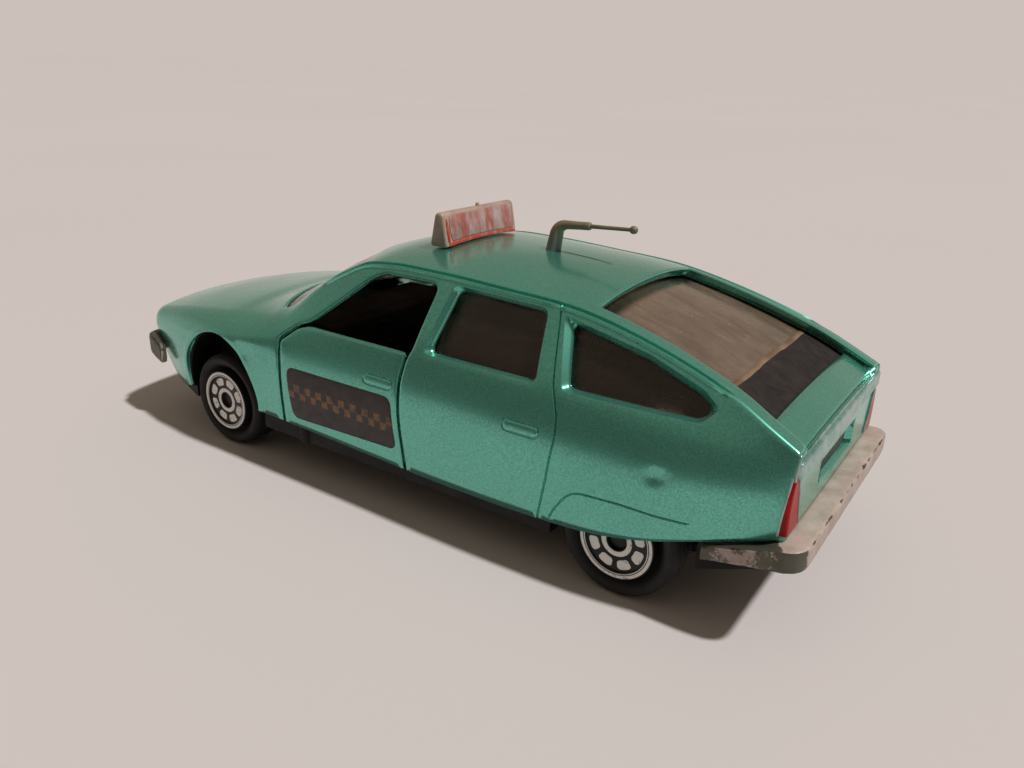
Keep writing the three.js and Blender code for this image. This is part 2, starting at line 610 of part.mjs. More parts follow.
// Body shell
function bodyShell() {
  const underDeck = (x, y) => roofZ(x, y) - DECK_DEPTH - 2 * WALL;
  const overDeck = (x, y) => roofZ(x, y) - WALL / 2;
  const sunken = (x, y) => roofZ(x, y) - DECK_DEPTH;
  const deck = deckSlab(TAIL_X, REAR_PANE_BOTTOM, PANE_LEDGE, overDeck, underDeck);
  const sink = deckSlab(TAIL_X - 1, REAR_PANE_TOP + PANE_LEDGE, 0, () => BEYOND, sunken);
  const cornerLength = 2 * WALL + TAIL_LAMP_WRAP / 2; // solid metal behind each tail lamp
  const corner = box(
    TAIL_X, TAIL_X + cornerLength, HALF_WIDTH - 7, BEYOND, sillZ(TAIL_X), BELT_HEIGHT - 1,
  ).intersect(outside);
  const rib = box(
    TAIL_X - RIB_PROUD, TAIL_X + WALL / 2, -RIB_HALF_WIDTH, RIB_HALF_WIDTH,
    edgeZ(TAIL_X) - DECK_DEPTH - RIB_HEIGHT, edgeZ(TAIL_X) - DECK_DEPTH,
  );
  const posts = [frontPostX, rearPostX].map((x) => {
    const top = x > 0 ? roofZ(x, POST_RADIUS) - WALL / 2 : underDeck(TAIL_X, 0) + WALL / 2;
    return rod([x, 0, postFoot(x)], [x, 0, top], POST_RADIUS);
  });
  let shell = outside.subtract(inside).add(deck).add(corner).add(mirrored(corner)).add(rib);
  shell = shell.add(rearHandle).add(mirrored(rearHandle));
  posts.forEach((post) => { shell = shell.add(post); });
  const sideCuts = [
    sidePrism(rearPane, CABIN_CUT, BEYOND), sidePrism(quarterPane, CABIN_CUT, BEYOND),
    sidePrism(frontWindow, CABIN_CUT, BEYOND), doorway, tailWedge(SNUG),
    noseBlock(LAMP_INNER, LAMP_OUTER, SNUG, LAMP_DEPTH),
    rod([FRONT_AXLE_X, CABIN_CUT, TYRE_RADIUS + ARCH_RISE], [FRONT_AXLE_X, BEYOND, TYRE_RADIUS + ARCH_RISE],
      TYRE_RADIUS + ARCH_GAP, 40),
    rod([REAR_AXLE_X, CABIN_CUT, TYRE_RADIUS], [REAR_AXLE_X, HUB_FACE + FIT, TYRE_RADIUS],
      TYRE_RADIUS + ARCH_GAP, 40),
  ];
  sideCuts.forEach((cut) => { shell = shell.subtract(cut).subtract(mirrored(cut)); });
  const middleCuts = [
    sink, planPrism(rearWindow, underDeck(REAR_PANE_BOTTOM, 0) - 1, BEYOND),
    frontPrism(windscreen, SCREEN_FROM_X, BEYOND),
    box(
      -BEYOND, TAIL_X + PLATE_DEPTH, -PLATE_HALF_WIDTH, PLATE_HALF_WIDTH,
      PLATE_BOTTOM, PLATE_BOTTOM + PLATE_HEIGHT,
    ),
    noseBlock(-GRILLE_HALF_WIDTH, GRILLE_HALF_WIDTH, SNUG, LAMP_DEPTH),
    rod([AERIAL_X, 0, BELT_HEIGHT], [AERIAL_X, 0, BEYOND], AERIAL_PEG + SNUG),
    ...pegPlaces.map((y) => rod([SIGN_X, y, BELT_HEIGHT], [SIGN_X, y, BEYOND], SIGN_PEG + SNUG)),
    ...[frontPostX, rearPostX].map((x) => (
      rod([x, 0, 0], [x, 0, postFoot(x) + RIVET_LENGTH], RIVET_RADIUS + SNUG)
    )),
  ];
  middleCuts.forEach((cut) => { shell = shell.subtract(cut); });
  return shell;
}
addPiece('body_shell', bodyShell(), PAINT);

// Front doors, each a half door that turns on its pin
function leftDoor() {
  let door = outside.subtract(inside).intersect(sidePrism(doorOutline(0), CABIN_CUT, BEYOND));
  door = door.subtract(aheadOfSweep(HINGE_SWEEP)).add(frontHandle);
  const top = SILL_HEIGHT + KNUCKLE_TOP;
  door = door.add(rod([PIN_X, PIN_Y, sillZ(PIN_X) + FIT], [PIN_X, PIN_Y, top], KNUCKLE_RADIUS));
  return door.subtract(rod([PIN_X, PIN_Y, 0], [PIN_X, PIN_Y, top - FIT], PIN_RADIUS + SNUG));
}
const door = leftDoor();
const PIN_FOOT = BASE_BOTTOM + BASE_FLOOR / 2;
const PIN_TOP = SILL_HEIGHT + KNUCKLE_TOP - 2 * FIT;
const pin = rod([PIN_X, PIN_Y, PIN_FOOT + SNUG], [PIN_X, PIN_Y, PIN_TOP], PIN_RADIUS);
addPiece('left_front_door', door, PAINT);
addPiece('right_front_door', mirrored(door), PAINT);
addPiece('left_hinge_pin', pin, STEEL);
addPiece('right_hinge_pin', mirrored(pin), STEEL);

// Base plate with its rails under the sills, axle bearings, inner wings, pin lugs and rivet pads
function basePlate() {
  const rear = TAIL_X - 0.1;
  const front = NOSE_X - 3.6;
  const half = (x) => {
    const underSill = sillY(x) - BASE_INSET;
    return x < REAR_AXLE_X ? Math.min(underSill, BASE_REAR_HALF) : underSill;
  };
  const top = (x) => sillZ(Math.max(x, TAIL_X)) - FIT;
  const places = placesBetween(rear, front);
  const low = (x) => baseZ(Math.max(x, TAIL_X));
  const blank = solid(loft(places.map((x) => [
    [x, half(x), low(x)], [x, half(x), top(x)], [x, -half(x), top(x)], [x, -half(x), low(x)],
  ])));
  const tray = solid(loft(placesBetween(rear + BASE_FLOOR, front - BASE_FLOOR).map((x) => {
    const y = half(x) - BASE_RAIL;
    return [[x, y, low(x) + BASE_FLOOR], [x, y, BEYOND], [x, -y, BEYOND], [x, -y, low(x) + BASE_FLOOR]];
  })));
  const lug = rod([PIN_X, PIN_Y, BASE_BOTTOM], [PIN_X, PIN_Y, top(PIN_X)], KNUCKLE_RADIUS);
  let base = blank.subtract(tray).add(lug).add(mirrored(lug));
  const well = TYRE_RADIUS + ARCH_GAP;
  [FRONT_AXLE_X, REAR_AXLE_X].forEach((x) => {
    const gap = box(x - well, x + well, WELL_INNER, BEYOND, 0, BEYOND);
    base = base.subtract(gap).subtract(mirrored(gap));
    const cap = TYRE_RADIUS + AXLE_RADIUS + AXLE_PLAY + BEARING_CAP;
    const bearing = box(x - BEARING_WIDTH / 2, x + BEARING_WIDTH / 2, WELL_INNER - BEARING_LENGTH, WELL_INNER,
      BASE_BOTTOM + BASE_FLOOR / 2, cap);
    base = base.add(bearing).add(mirrored(bearing));
    if (x > 0) {
      const wing = box(x - well, x + well, WELL_INNER - INNER_WING, WELL_INNER, BASE_BOTTOM + BASE_FLOOR / 2,
        roofZ(x + well, WELL_INNER) - WALL - FIT);
      base = base.add(wing).add(mirrored(wing));
    }
    const [start, end] = [[x, -HALF_WIDTH, TYRE_RADIUS], [x, HALF_WIDTH, TYRE_RADIUS]];
    base = base.subtract(rod(start, end, AXLE_RADIUS + AXLE_PLAY));
  });
  const hole = rod([PIN_X, PIN_Y, PIN_FOOT], [PIN_X, PIN_Y, BEYOND], PIN_RADIUS + SNUG);
  base = base.subtract(hole).subtract(mirrored(hole));
  [frontPostX, rearPostX].forEach((x) => {
    base = base.add(rod([x, 0, padFoot(x)], [x, 0, baseZ(x) + BASE_FLOOR], POST_RADIUS + FIT));
    base = base.subtract(rod([x, 0, 0], [x, 0, BEYOND], RIVET_RADIUS + SNUG));
  });
  return base;
}
// The rivet pads are flat below, also where the base plate slopes
function padFoot(x) {
  return Math.min(baseZ(x - POST_RADIUS), baseZ(x + POST_RADIUS)) - FIT;
}
addPiece('base_plate', basePlate(), BLACK_PLASTIC);

[['front_rivet', frontPostX], ['rear_rivet', rearPostX]].forEach(([name, x]) => {
  const foot = padFoot(x) - SNUG;
  const head = rod([x, 0, foot - RIVET_HEAD_HEIGHT], [x, 0, foot], RIVET_HEAD);
  const end = postFoot(x) + RIVET_LENGTH - FIT;
  const shank = rod([x, 0, foot - RIVET_HEAD_HEIGHT / 2], [x, 0, end], RIVET_RADIUS);
  addPiece(name, head.add(shank), STEEL);
});

// One clear moulding for every pane; the front door windows are open
function glazing() {
  const front = station(0.96);
  const rear = REAR_PANE_BOTTOM + FIT;
  const skin = hollow(WALL + FIT, rear, front).subtract(hollow(WALL + FIT + GLASS, rear - 1, front + 1));
  const keep = box(rear - 1, front + 1, -BEYOND, BEYOND, BELT_HEIGHT + 0.4, BEYOND);
  const grow = 0.9;
  const openWindow = box(station(0.422), station(0.727), HALF_WIDTH - 8, BEYOND, 0, ROOF_HEIGHT - 2.7);
  const post = sidePrism(new THREE.Shape([
    [station(0.727) + grow, BELT_HEIGHT], [station(0.588) + grow, ROOF_HEIGHT - 3.6],
    [station(0.57) + grow, BEYOND], [BEYOND, BEYOND], [BEYOND, BELT_HEIGHT],
  ].map((p) => new THREE.Vector2(...p))), 0, BEYOND);
  const opening = openWindow.subtract(post);
  return skin.intersect(keep).subtract(opening).subtract(mirrored(opening));
}
addPiece('window_glazing', glazing(), CLEAR_PLASTIC);

// Cabin moulding: floor, two front seats, rear bench and dashboard
const CABIN_BOTTOM = BASE_TOP + FIT;
const CABIN_TOP = CABIN_BOTTOM + CABIN_FLOOR;
const SEAT_TOP = BELT_HEIGHT + 0.2;
const CUSHION_TOP = CABIN_TOP + 5;
const DASH_FACE = station(0.71);
const DASH_FRONT = station(0.775);
const SHELF_FRONT = station(0.865); // the shelf under the windscreen ends behind the front wheels
const SHELF_TOP = BELT_HEIGHT - 1.1;
function seat(front, y0, y1) {
  const profile = rounded([
    [front, CABIN_TOP - 0.5], [front + 0.2, CUSHION_TOP + 0.6], [front - 6.6, CUSHION_TOP - 0.4],
    [front - 9.4, SEAT_TOP], [front - 11.4, SEAT_TOP - 0.3], [front - 9.6, CABIN_TOP - 0.5],
  ], 0.8);
  return sidePrism(profile, y0, y1);
}
function cabin() {
  const rear = station(0.12);
  const dashHalf = CABIN_HALF_WIDTH - 1;
  const shelf = box(DASH_FRONT - 1, SHELF_FRONT, -dashHalf, dashHalf, SHELF_TOP - CABIN_FLOOR, SHELF_TOP);
  const dash = rounded([
    [DASH_FACE, CABIN_TOP - 0.5], [DASH_FACE, BELT_HEIGHT - 4.2], [DASH_FACE + 1, BELT_HEIGHT - 1.5],
    [DASH_FRONT, BELT_HEIGHT - 1], [DASH_FRONT, CABIN_TOP - 0.5],
  ], 0.6);
  const frontSeat = station(0.595);
  return box(rear, DASH_FRONT, -CABIN_HALF_WIDTH, CABIN_HALF_WIDTH, CABIN_BOTTOM, CABIN_TOP)
    .add(seat(frontSeat, SEAT_OFFSET - SEAT_HALF_WIDTH, SEAT_OFFSET + SEAT_HALF_WIDTH))
    .add(seat(frontSeat, -SEAT_OFFSET - SEAT_HALF_WIDTH, SEAT_HALF_WIDTH - SEAT_OFFSET))
    .add(seat(rear + 12, -SEAT_OFFSET - SEAT_HALF_WIDTH, SEAT_OFFSET + SEAT_HALF_WIDTH))
    .add(sidePrism(dash, -dashHalf, dashHalf))
    .add(shelf);
}
addPiece('interior_tub', cabin(), CABIN_PLASTIC);

// Steering wheel: rim, cross bar and column, leaning towards the driver
function steeringWheel() {
  const lean = Math.PI / 8;
  const rim = solid(new THREE.TorusGeometry(STEERING_RADIUS, STEERING_RIM, 8, 24));
  const bar = rod([0, -STEERING_RADIUS, 0], [0, STEERING_RADIUS, 0], STEERING_RIM, 8);
  const column = rod([0, 0, 0], [0, 0, -3], STEERING_RIM, 8);
  const back = DASH_FACE - FIT - 3 * Math.cos(lean) - STEERING_RIM * Math.sin(lean);
  const whole = rim.add(bar).add(column);
  const turned = whole.rotate([0, (lean * 180) / Math.PI - 90, 0]);
  return turned.translate([back, SEAT_OFFSET, BELT_HEIGHT - 4]);
}
addPiece('steering_wheel', steeringWheel(), CABIN_PLASTIC);

// A bar that follows a line of [x, y, top, height, depth], its depth measured towards the middle of the car
function bar(line) {
  const end = Math.sign(line[0][0]);
  return loft(line.map(([x, y, top, height, depth], i) => {
    const [x0, y0] = line[Math.max(i - 1, 0)];
    const [x1, y1] = line[Math.min(i + 1, line.length - 1)];
    const size = Math.hypot(x1 - x0, y1 - y0);
    const inX = x + ((y1 - y0) / size) * depth * end;
    const inY = y - ((x1 - x0) / size) * depth * end;
    return [[x, y, top - height], [x, y, top], [inX, inY, top], [inX, inY, top - height]];
  }));
}
// A bumper from its left half, which runs from its end to the middle of the car
function bumper(left) {
  const right = left.slice(0, -1).map(([x, y, ...rest]) => [x, -y, ...rest]).reverse();
  return bar([...left, ...right]);
}
const FACE_X = LENGTH / 2;
function frontBumper() {
  const top = sillZ(NOSE_X) - FIT;
  const nose = (x, y) => [x, y, top, FRONT_BUMPER_HEIGHT, BUMPER_WALL];
  const wing = (x) => nose(x, wideY(x) + FIT + BUMPER_WALL);
  const end = wing(NOSE_X)[1];
  return bumper([
    wing(FACE_X - FRONT_BUMPER_WRAP), wing(NOSE_X - 0.6), nose(NOSE_X + 0.8, end - 0.9),
    nose(FACE_X - 0.9, end - 5), nose(FACE_X - 0.3, end - 11), nose(FACE_X, 0),
  ]);
}
function rearBumper() {
  const wing = (x, y) => [x, y, sillZ(x) - FIT, BUMPER_HEIGHT - 0.6, BUMPER_WALL];
  const top = sillZ(TAIL_X) - FIT / 2;
  const tail = (x, y, depth) => [x, y, top, BUMPER_HEIGHT, depth];
  return bumper([
    wing(REAR_BUMPER_WRAP - FACE_X, REAR_BUMPER_HALF), wing(5.2 - FACE_X, REAR_BUMPER_HALF - 0.1),
    tail(1.9 - FACE_X, REAR_BUMPER_HALF - 0.4, BUMPER_WALL),
    tail(0.5 - FACE_X, REAR_BUMPER_HALF - 1.1, BUMPER_WALL),
    tail(-FACE_X, REAR_BUMPER_HALF - 2.8, REAR_BUMPER_DEPTH),
    tail(-FACE_X, REAR_BUMPER_HALF / 2, REAR_BUMPER_DEPTH),
    tail(-FACE_X, 0, REAR_BUMPER_DEPTH),
  ]);
}
addPiece('front_bumper', frontBumper(), WORN_PLATING);
addPiece('rear_bumper', rearBumper(), WORN_PLATING);

// Lamps and grille, flush with the body
const headlamp = noseBlock(LAMP_INNER, LAMP_OUTER, 0, LAMP_DEPTH - SNUG).intersect(outside);
addPiece('left_headlamp', headlamp, LENS_PLASTIC);
addPiece('right_headlamp', mirrored(headlamp), LENS_PLASTIC);
let grille = noseBlock(-GRILLE_HALF_WIDTH, GRILLE_HALF_WIDTH, 0, LAMP_DEPTH - SNUG).intersect(outside);
[0.3, 0.7].forEach((share) => {
  const z = LAMP_TOP - LAMP_HEIGHT * share;
  const slot = box(NOSE_X + NOSE_BOW / 2, BEYOND, -BEYOND, BEYOND, z - GRILLE_SLOT / 2, z + GRILLE_SLOT / 2);
  grille = grille.subtract(slot);
});
addPiece('front_grille', grille, BLACK_PLASTIC);
const tailLamp = tailWedge(0).intersect(outside);
addPiece('left_tail_lamp', tailLamp, RED_PLASTIC);
addPiece('right_tail_lamp', mirrored(tailLamp), RED_PLASTIC);

// Roof sign: a wedge that follows the roof, on two pegs
const ROOF_GAP = 0.25; // sign and aerial over the paint
function roofSign() {
  const foot = ROOF_HEIGHT - 1.6;
  const top = ROOF_HEIGHT + SIGN_HEIGHT;
  const wedge = sidePrism(rounded([
    [SIGN_X - SIGN_FOOT / 2, foot], [SIGN_X + SIGN_FOOT / 2, foot], [SIGN_X + SIGN_TOP / 2, top],
    [SIGN_X - SIGN_TOP / 2, top],
  ], 0.5), -SIGN_HALF_WIDTH, SIGN_HALF_WIDTH);
  let sign = wedge.subtract(outside.translate([0, 0, ROOF_GAP]));
  pegPlaces.forEach((y) => {
    const peg = rod([SIGN_X, y, roofZ(SIGN_X, y) - WALL], [SIGN_X, y, ROOF_HEIGHT + 1], SIGN_PEG);
    sign = sign.add(peg);
  });
  return sign;
}
addPiece('roof_sign', roofSign(), CREAM_PLASTIC);

// Aerial: a leaning post, a tube bent back over the roof, and a thin rod with a ball end
function aerial() {
  const foot = roofZ(AERIAL_X, 0);
  const elbow = [AERIAL_X - AERIAL_LEAN, 0, foot + AERIAL_HEIGHT];
  const tubeEnd = [elbow[0] - AERIAL_TUBE_LENGTH, 0, elbow[2] + AERIAL_TUBE_RISE];
  const ball = [tubeEnd[0] - AERIAL_ROD_LENGTH, 0, tubeEnd[2] + AERIAL_ROD_RISE];
  const roof = outside.translate([0, 0, ROOF_GAP]);
  const post = rod([AERIAL_X, 0, foot - 1], elbow, AERIAL_POST, 12).subtract(roof);
  return post.add(rod([AERIAL_X, 0, foot - WALL], [AERIAL_X, 0, foot + 1], AERIAL_PEG, 12))
    .add(solid(new THREE.SphereGeometry(AERIAL_POST, 12, 8).translate(...elbow)))
    .add(rod(elbow, tubeEnd, AERIAL_TUBE, 12)).add(rod(elbow, ball, AERIAL_ROD, 8))
    .add(solid(new THREE.SphereGeometry(AERIAL_BALL, 12, 8).translate(...ball)));
}
addPiece('roof_aerial', aerial(), BEIGE_PLASTIC);

// Wheelsets: two tyres on two hubs pressed on a steel axle; profiles are [radius, distance from the hub face]
const WHEEL_SIDES = 28;
const tyreOuter = -HUB_PROUD;
const tyreInner = -HUB_PROUD - TYRE_WIDTH;
const tyreBore = HUB_RADIUS + SNUG;
const TYRE_ROUND = 0.6;
const tyreProfile = [
  [tyreBore, tyreInner], [TYRE_RADIUS - TYRE_ROUND, tyreInner], [TYRE_RADIUS, tyreInner + TYRE_ROUND],
  [TYRE_RADIUS, tyreOuter - TYRE_ROUND], [TYRE_RADIUS - TYRE_ROUND, tyreOuter],
  [tyreBore + TYRE_DISH, tyreOuter], [tyreBore, tyreOuter - TYRE_DISH], [tyreBore, tyreInner],
];
const hubBore = AXLE_RADIUS + SNUG;
const hubProfile = [
  [hubBore, tyreInner], [HUB_RADIUS, tyreInner], [HUB_RADIUS, -HUB_DISH], [HUB_RADIUS - HUB_DISH, 0],
  [HUB_RADIUS - HUB_RIM, 0], [HUB_RADIUS - HUB_RIM - HUB_DISH / 2, -HUB_DISH], [2 * hubBore, -HUB_DISH],
  [2 * hubBore, -HUB_DISH / 2], [hubBore, -HUB_DISH / 2], [hubBore, tyreInner],
];
function turned(profile) {
  const points = profile.map(([radius, y]) => new THREE.Vector2(radius, y));
  return solid(new THREE.LatheGeometry(points, WHEEL_SIDES).translate(0, HUB_FACE, 0));
}
const tyre = turned(tyreProfile);
const hub = turned(hubProfile);
const axleHalf = HUB_FACE - AXLE_SHORT;
[['front', FRONT_AXLE_X], ['rear', REAR_AXLE_X]].forEach(([end, x]) => {
  const wheelset = new THREE.Group();
  wheelset.position.set(x, 0, TYRE_RADIUS);
  car.add(wheelset);
  addPiece(`${end}_axle`, rod([0, -axleHalf, 0], [0, axleHalf, 0], AXLE_RADIUS), STEEL, wheelset);
  addPiece(`left_${end}_hub`, hub, BLACK_PLASTIC, wheelset);
  addPiece(`right_${end}_hub`, mirrored(hub), BLACK_PLASTIC, wheelset);
  addPiece(`left_${end}_tyre`, tyre, RUBBER, wheelset);
  addPiece(`right_${end}_tyre`, mirrored(tyre), RUBBER, wheelset);
});

export default car;
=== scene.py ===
# A 1:43 die-cast toy saloon in taxi trim, dressed over its CAD frame. Sizes are in millimetres in the code
# and become metres when a mesh is made. +X is the nose, +Y the car's left side, the wheels stand on z = 0.
import math

import bmesh
import bpy
import numpy as np
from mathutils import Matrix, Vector
from mathutils.geometry import delaunay_2d_cdt


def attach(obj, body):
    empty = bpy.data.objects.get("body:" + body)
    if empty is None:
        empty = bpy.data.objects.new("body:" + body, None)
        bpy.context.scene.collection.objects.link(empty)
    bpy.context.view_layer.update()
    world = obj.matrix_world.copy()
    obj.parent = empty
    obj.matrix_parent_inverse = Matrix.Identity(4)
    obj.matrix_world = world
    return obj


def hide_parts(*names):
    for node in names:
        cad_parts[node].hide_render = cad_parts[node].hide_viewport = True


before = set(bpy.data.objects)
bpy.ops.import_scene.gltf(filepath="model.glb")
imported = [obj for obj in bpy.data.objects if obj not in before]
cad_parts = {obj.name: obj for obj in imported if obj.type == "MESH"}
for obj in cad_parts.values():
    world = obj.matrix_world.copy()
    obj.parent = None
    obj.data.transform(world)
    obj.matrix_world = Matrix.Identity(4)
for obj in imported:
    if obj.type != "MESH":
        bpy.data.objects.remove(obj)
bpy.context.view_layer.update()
scene = bpy.context.scene


# The table top: a pale sheet of card under a lamp high behind the car's tail, with dim warm light from the
# room all round. The camera looks down on the car's left rear corner, as the photograph does.
MM = 0.001


def socket(node, name):
    return next(s for s in node.inputs if s.name == name and s.enabled)


def feed(shader, name, value):
    """Lets a value or a colour drive one of the shader's inputs."""
    shader.id_data.links.new(value, socket(shader, name))


def plain(name, color, **values):
    """A material whose shader values are the same all over; returns it with its tree and shader."""
    material = bpy.data.materials.new(name)
    material.use_nodes = True
    tree = material.node_tree
    shader = tree.nodes["Principled BSDF"]
    socket(shader, "Base Color").default_value = (*color, 1)
    for key, value in values.items():
        socket(shader, key.replace("_", " ").title().replace("Ior", "IOR")).default_value = value
    return material, tree, shader


def noise(tree, scale, detail=3.0, roughness=0.55, stretch=(1, 1, 1)):
    """A noise value over the object's own coordinates; scale is in features per metre."""
    where = tree.nodes.new("ShaderNodeTexCoord")
    mapping = tree.nodes.new("ShaderNodeMapping")
    mapping.inputs["Scale"].default_value = stretch
    texture = tree.nodes.new("ShaderNodeTexNoise")
    texture.inputs["Scale"].default_value = scale
    texture.inputs["Detail"].default_value = detail
    texture.inputs["Roughness"].default_value = roughness
    tree.links.new(where.outputs["Object"], mapping.inputs["Vector"])
    tree.links.new(mapping.outputs["Vector"], texture.inputs["Vector"])
    return texture.outputs["Fac"]


def ramp(tree, value, stops):
    """Colours or greys by value; stops are (place, grey or colour)."""
    node = tree.nodes.new("ShaderNodeValToRGB")
    elements = node.color_ramp.elements
    while len(elements) < len(stops):
        elements.new(0.5)
    for element, (place, color) in zip(elements, stops):
        element.position = place
        element.color = (*color, 1) if isinstance(color, tuple) else (color, color, color, 1)
    tree.links.new(value, node.inputs["Fac"])
    return node.outputs["Color"]


def mixed(tree, factor, a, b, blend="MIX"):
    """A mix of two colours; each may be a socket or a plain colour."""
    node = tree.nodes.new("ShaderNodeMix")
    node.data_type = "RGBA"
    node.blend_type = blend
    for name, item in (("Factor", factor), ("A", a), ("B", b)):
        target = socket(node, name)
        if isinstance(item, bpy.types.NodeSocket):
            tree.links.new(item, target)
        else:
            target.default_value = (*item, 1) if isinstance(item, tuple) else item
    return next(s for s in node.outputs if s.enabled)


def maths(tree, operation, a, b=0.0):
    node = tree.nodes.new("ShaderNodeMath")
    node.operation = operation
    for target, item in zip(node.inputs, (a, b)):
        if isinstance(item, bpy.types.NodeSocket):
            tree.links.new(item, target)
        else:
            target.default_value = item
    return node.outputs["Value"]


def bump(tree, shader, height, distance, strength):
    node = tree.nodes.new("ShaderNodeBump")
    node.inputs["Strength"].default_value = strength
    node.inputs["Distance"].default_value = distance
    tree.links.new(height, node.inputs["Height"])
    feed(shader, "Normal", node.outputs["Normal"])


CARD_SIZE, CARD_EDGE = 40000, 150  # its side, and how far it reaches on the camera's side
bpy.ops.mesh.primitive_plane_add(size=CARD_SIZE * MM, location=(0, (CARD_EDGE - CARD_SIZE / 2) * MM, 0))
card = bpy.context.object
card.name = "card"
card_paper, tree, shader = plain("card_paper", (0.607, 0.575, 0.575), roughness=0.9)
card_tone = ramp(tree, noise(tree, 3.0), [(0.3, (0.598, 0.567, 0.567)), (0.7, (0.616, 0.583, 0.583))])
feed(shader, "Base Color", card_tone)
card.data.materials.append(card_paper)

# The room: pale beyond the car and dim on the camera's side. Past the far edge of the card, and in what the
# paint mirrors low down, stands a wall in the card's own tone
CAMERA_SIDE = (-0.3, 0.4, 0)
WALL_MIRRORED = 0.72
room = bpy.data.worlds.new("room")
room.use_nodes = True
tree = room.node_tree
soft_light = tree.nodes["Background"]
direction = tree.nodes.new("ShaderNodeTexCoord")
toward = tree.nodes.new("ShaderNodeVectorMath")
toward.operation = "DOT_PRODUCT"
toward.inputs[1].default_value = CAMERA_SIDE
tree.links.new(direction.outputs["Generated"], toward.inputs[0])
sided = maths(tree, "ADD", toward.outputs["Value"], 0.5)
height = tree.nodes.new("ShaderNodeSeparateXYZ")
tree.links.new(direction.outputs["Generated"], height.inputs["Vector"])
overhead = ramp(tree, height.outputs["Z"], [(0.15, 0.0), (0.42, 1.0)])
shade = maths(tree, "SUBTRACT", sided, maths(tree, "MULTIPLY", overhead, 0.4))
room_tone = ramp(tree, shade, [(0.3, (0.262, 0.216, 0.166)), (0.66, (0.074, 0.056, 0.041))])
tree.links.new(room_tone, soft_light.inputs["Color"])
far_wall = tree.nodes.new("ShaderNodeBackground")
far_wall.inputs["Color"].default_value = (0.602, 0.532, 0.491, 1)
seen = tree.nodes.new("ShaderNodeLightPath")
low_down = ramp(tree, height.outputs["Z"], [(0.1, 1.0), (0.36, 0.0)])
beyond = maths(tree, "MULTIPLY", ramp(tree, sided, [(0.3, 1.0), (0.5, 0.0)]), low_down)
glossy = maths(tree, "MULTIPLY", seen.outputs["Is Glossy Ray"], beyond)
mirrored = maths(tree, "MULTIPLY", glossy, WALL_MIRRORED)
through = maths(tree, "MAXIMUM", seen.outputs["Is Camera Ray"], seen.outputs["Is Transmission Ray"])
either = tree.nodes.new("ShaderNodeMixShader")
tree.links.new(maths(tree, "MAXIMUM", through, mirrored), either.inputs[0])
tree.links.new(soft_light.outputs[0], either.inputs[1])
tree.links.new(far_wall.outputs[0], either.inputs[2])
tree.links.new(either.outputs[0], tree.nodes["World Output"].inputs["Surface"])
scene.world = room
scene.view_settings.view_transform = "Standard"

ceiling_lamp = bpy.data.objects.new("ceiling_lamp", bpy.data.lights.new("ceiling_lamp", "SUN"))
ceiling_lamp.data.energy = 2.85
ceiling_lamp.data.color = (1, 0.965, 0.94)
ceiling_lamp.data.angle = math.radians(3.5)
ceiling_lamp.rotation_euler = Vector((-0.62, -0.08, 1)).to_track_quat("Z", "Y").to_euler()
scene.collection.objects.link(ceiling_lamp)

camera = bpy.data.objects.new("camera", bpy.data.cameras.new("camera"))
camera.data.sensor_width = 36
camera.data.lens = 29.257
camera.data.clip_start = 0.005
camera.location = Vector((-68.31, 91.41, 55.53)) * MM
camera.rotation_euler = [math.radians(a) for a in (69.026, -1.651, -145.62)]
scene.collection.objects.link(camera)
scene.camera = camera


# The body shell: one zinc alloy casting about 1.2 mm thick, sprayed in a fine metallic teal. Its skin is
# drawn from key lines along the car, and each opening has the rolled lip that paint leaves on a cast edge.
TAIL, REAR_AXLE, FRONT_AXLE, NOSE = -51.6, -34.2, 32.0, 51.5
WALL = 1.2
NOSE_BOW = 2.0
RAIL = 2.3
DECK_FRONT = TAIL + 3.5


def place(s):
    """A place along the car: -1 is the tail, 0 and 1 the axles, 2 the nose."""
    return float(np.interp(s, (-1, 0, 1, 2), (TAIL, REAR_AXLE, FRONT_AXLE, NOSE)))


def hermite(x, xs, ys):
    """A smooth line through knots, xs and ys along the last axis; x may be any shape that fits them."""
    h = np.diff(xs)
    slope = np.diff(ys) / h
    inner = (slope[..., :-1] * h[..., 1:] + slope[..., 1:] * h[..., :-1]) / (h[..., 1:] + h[..., :-1])
    tangent = np.concatenate([slope[..., :1], inner, slope[..., -1:]], axis=-1)
    i = np.clip((x[..., None] >= xs[..., 1:-1]).sum(axis=-1), 0, h.shape[-1] - 1)[..., None]

    def pick(a, k):
        return np.take_along_axis(np.broadcast_to(a, x.shape + a.shape[-1:]), k, -1)[..., 0]

    hi = pick(h, i)
    u = (x - pick(xs, i)) / hi
    start = (1 + 2 * u) * (1 - u) ** 2 * pick(ys, i) + u * (1 - u) ** 2 * hi * pick(tangent, i)
    return start + u * u * (3 - 2 * u) * pick(ys, i + 1) + u * u * (u - 1) * hi * pick(tangent, i + 1)


def key_line(*knots):
    xs = np.array([place(s) for s, _ in knots])
    ys = np.array([value for _, value in knots])
    return lambda x: hermite(np.asarray(x, float), xs, ys)


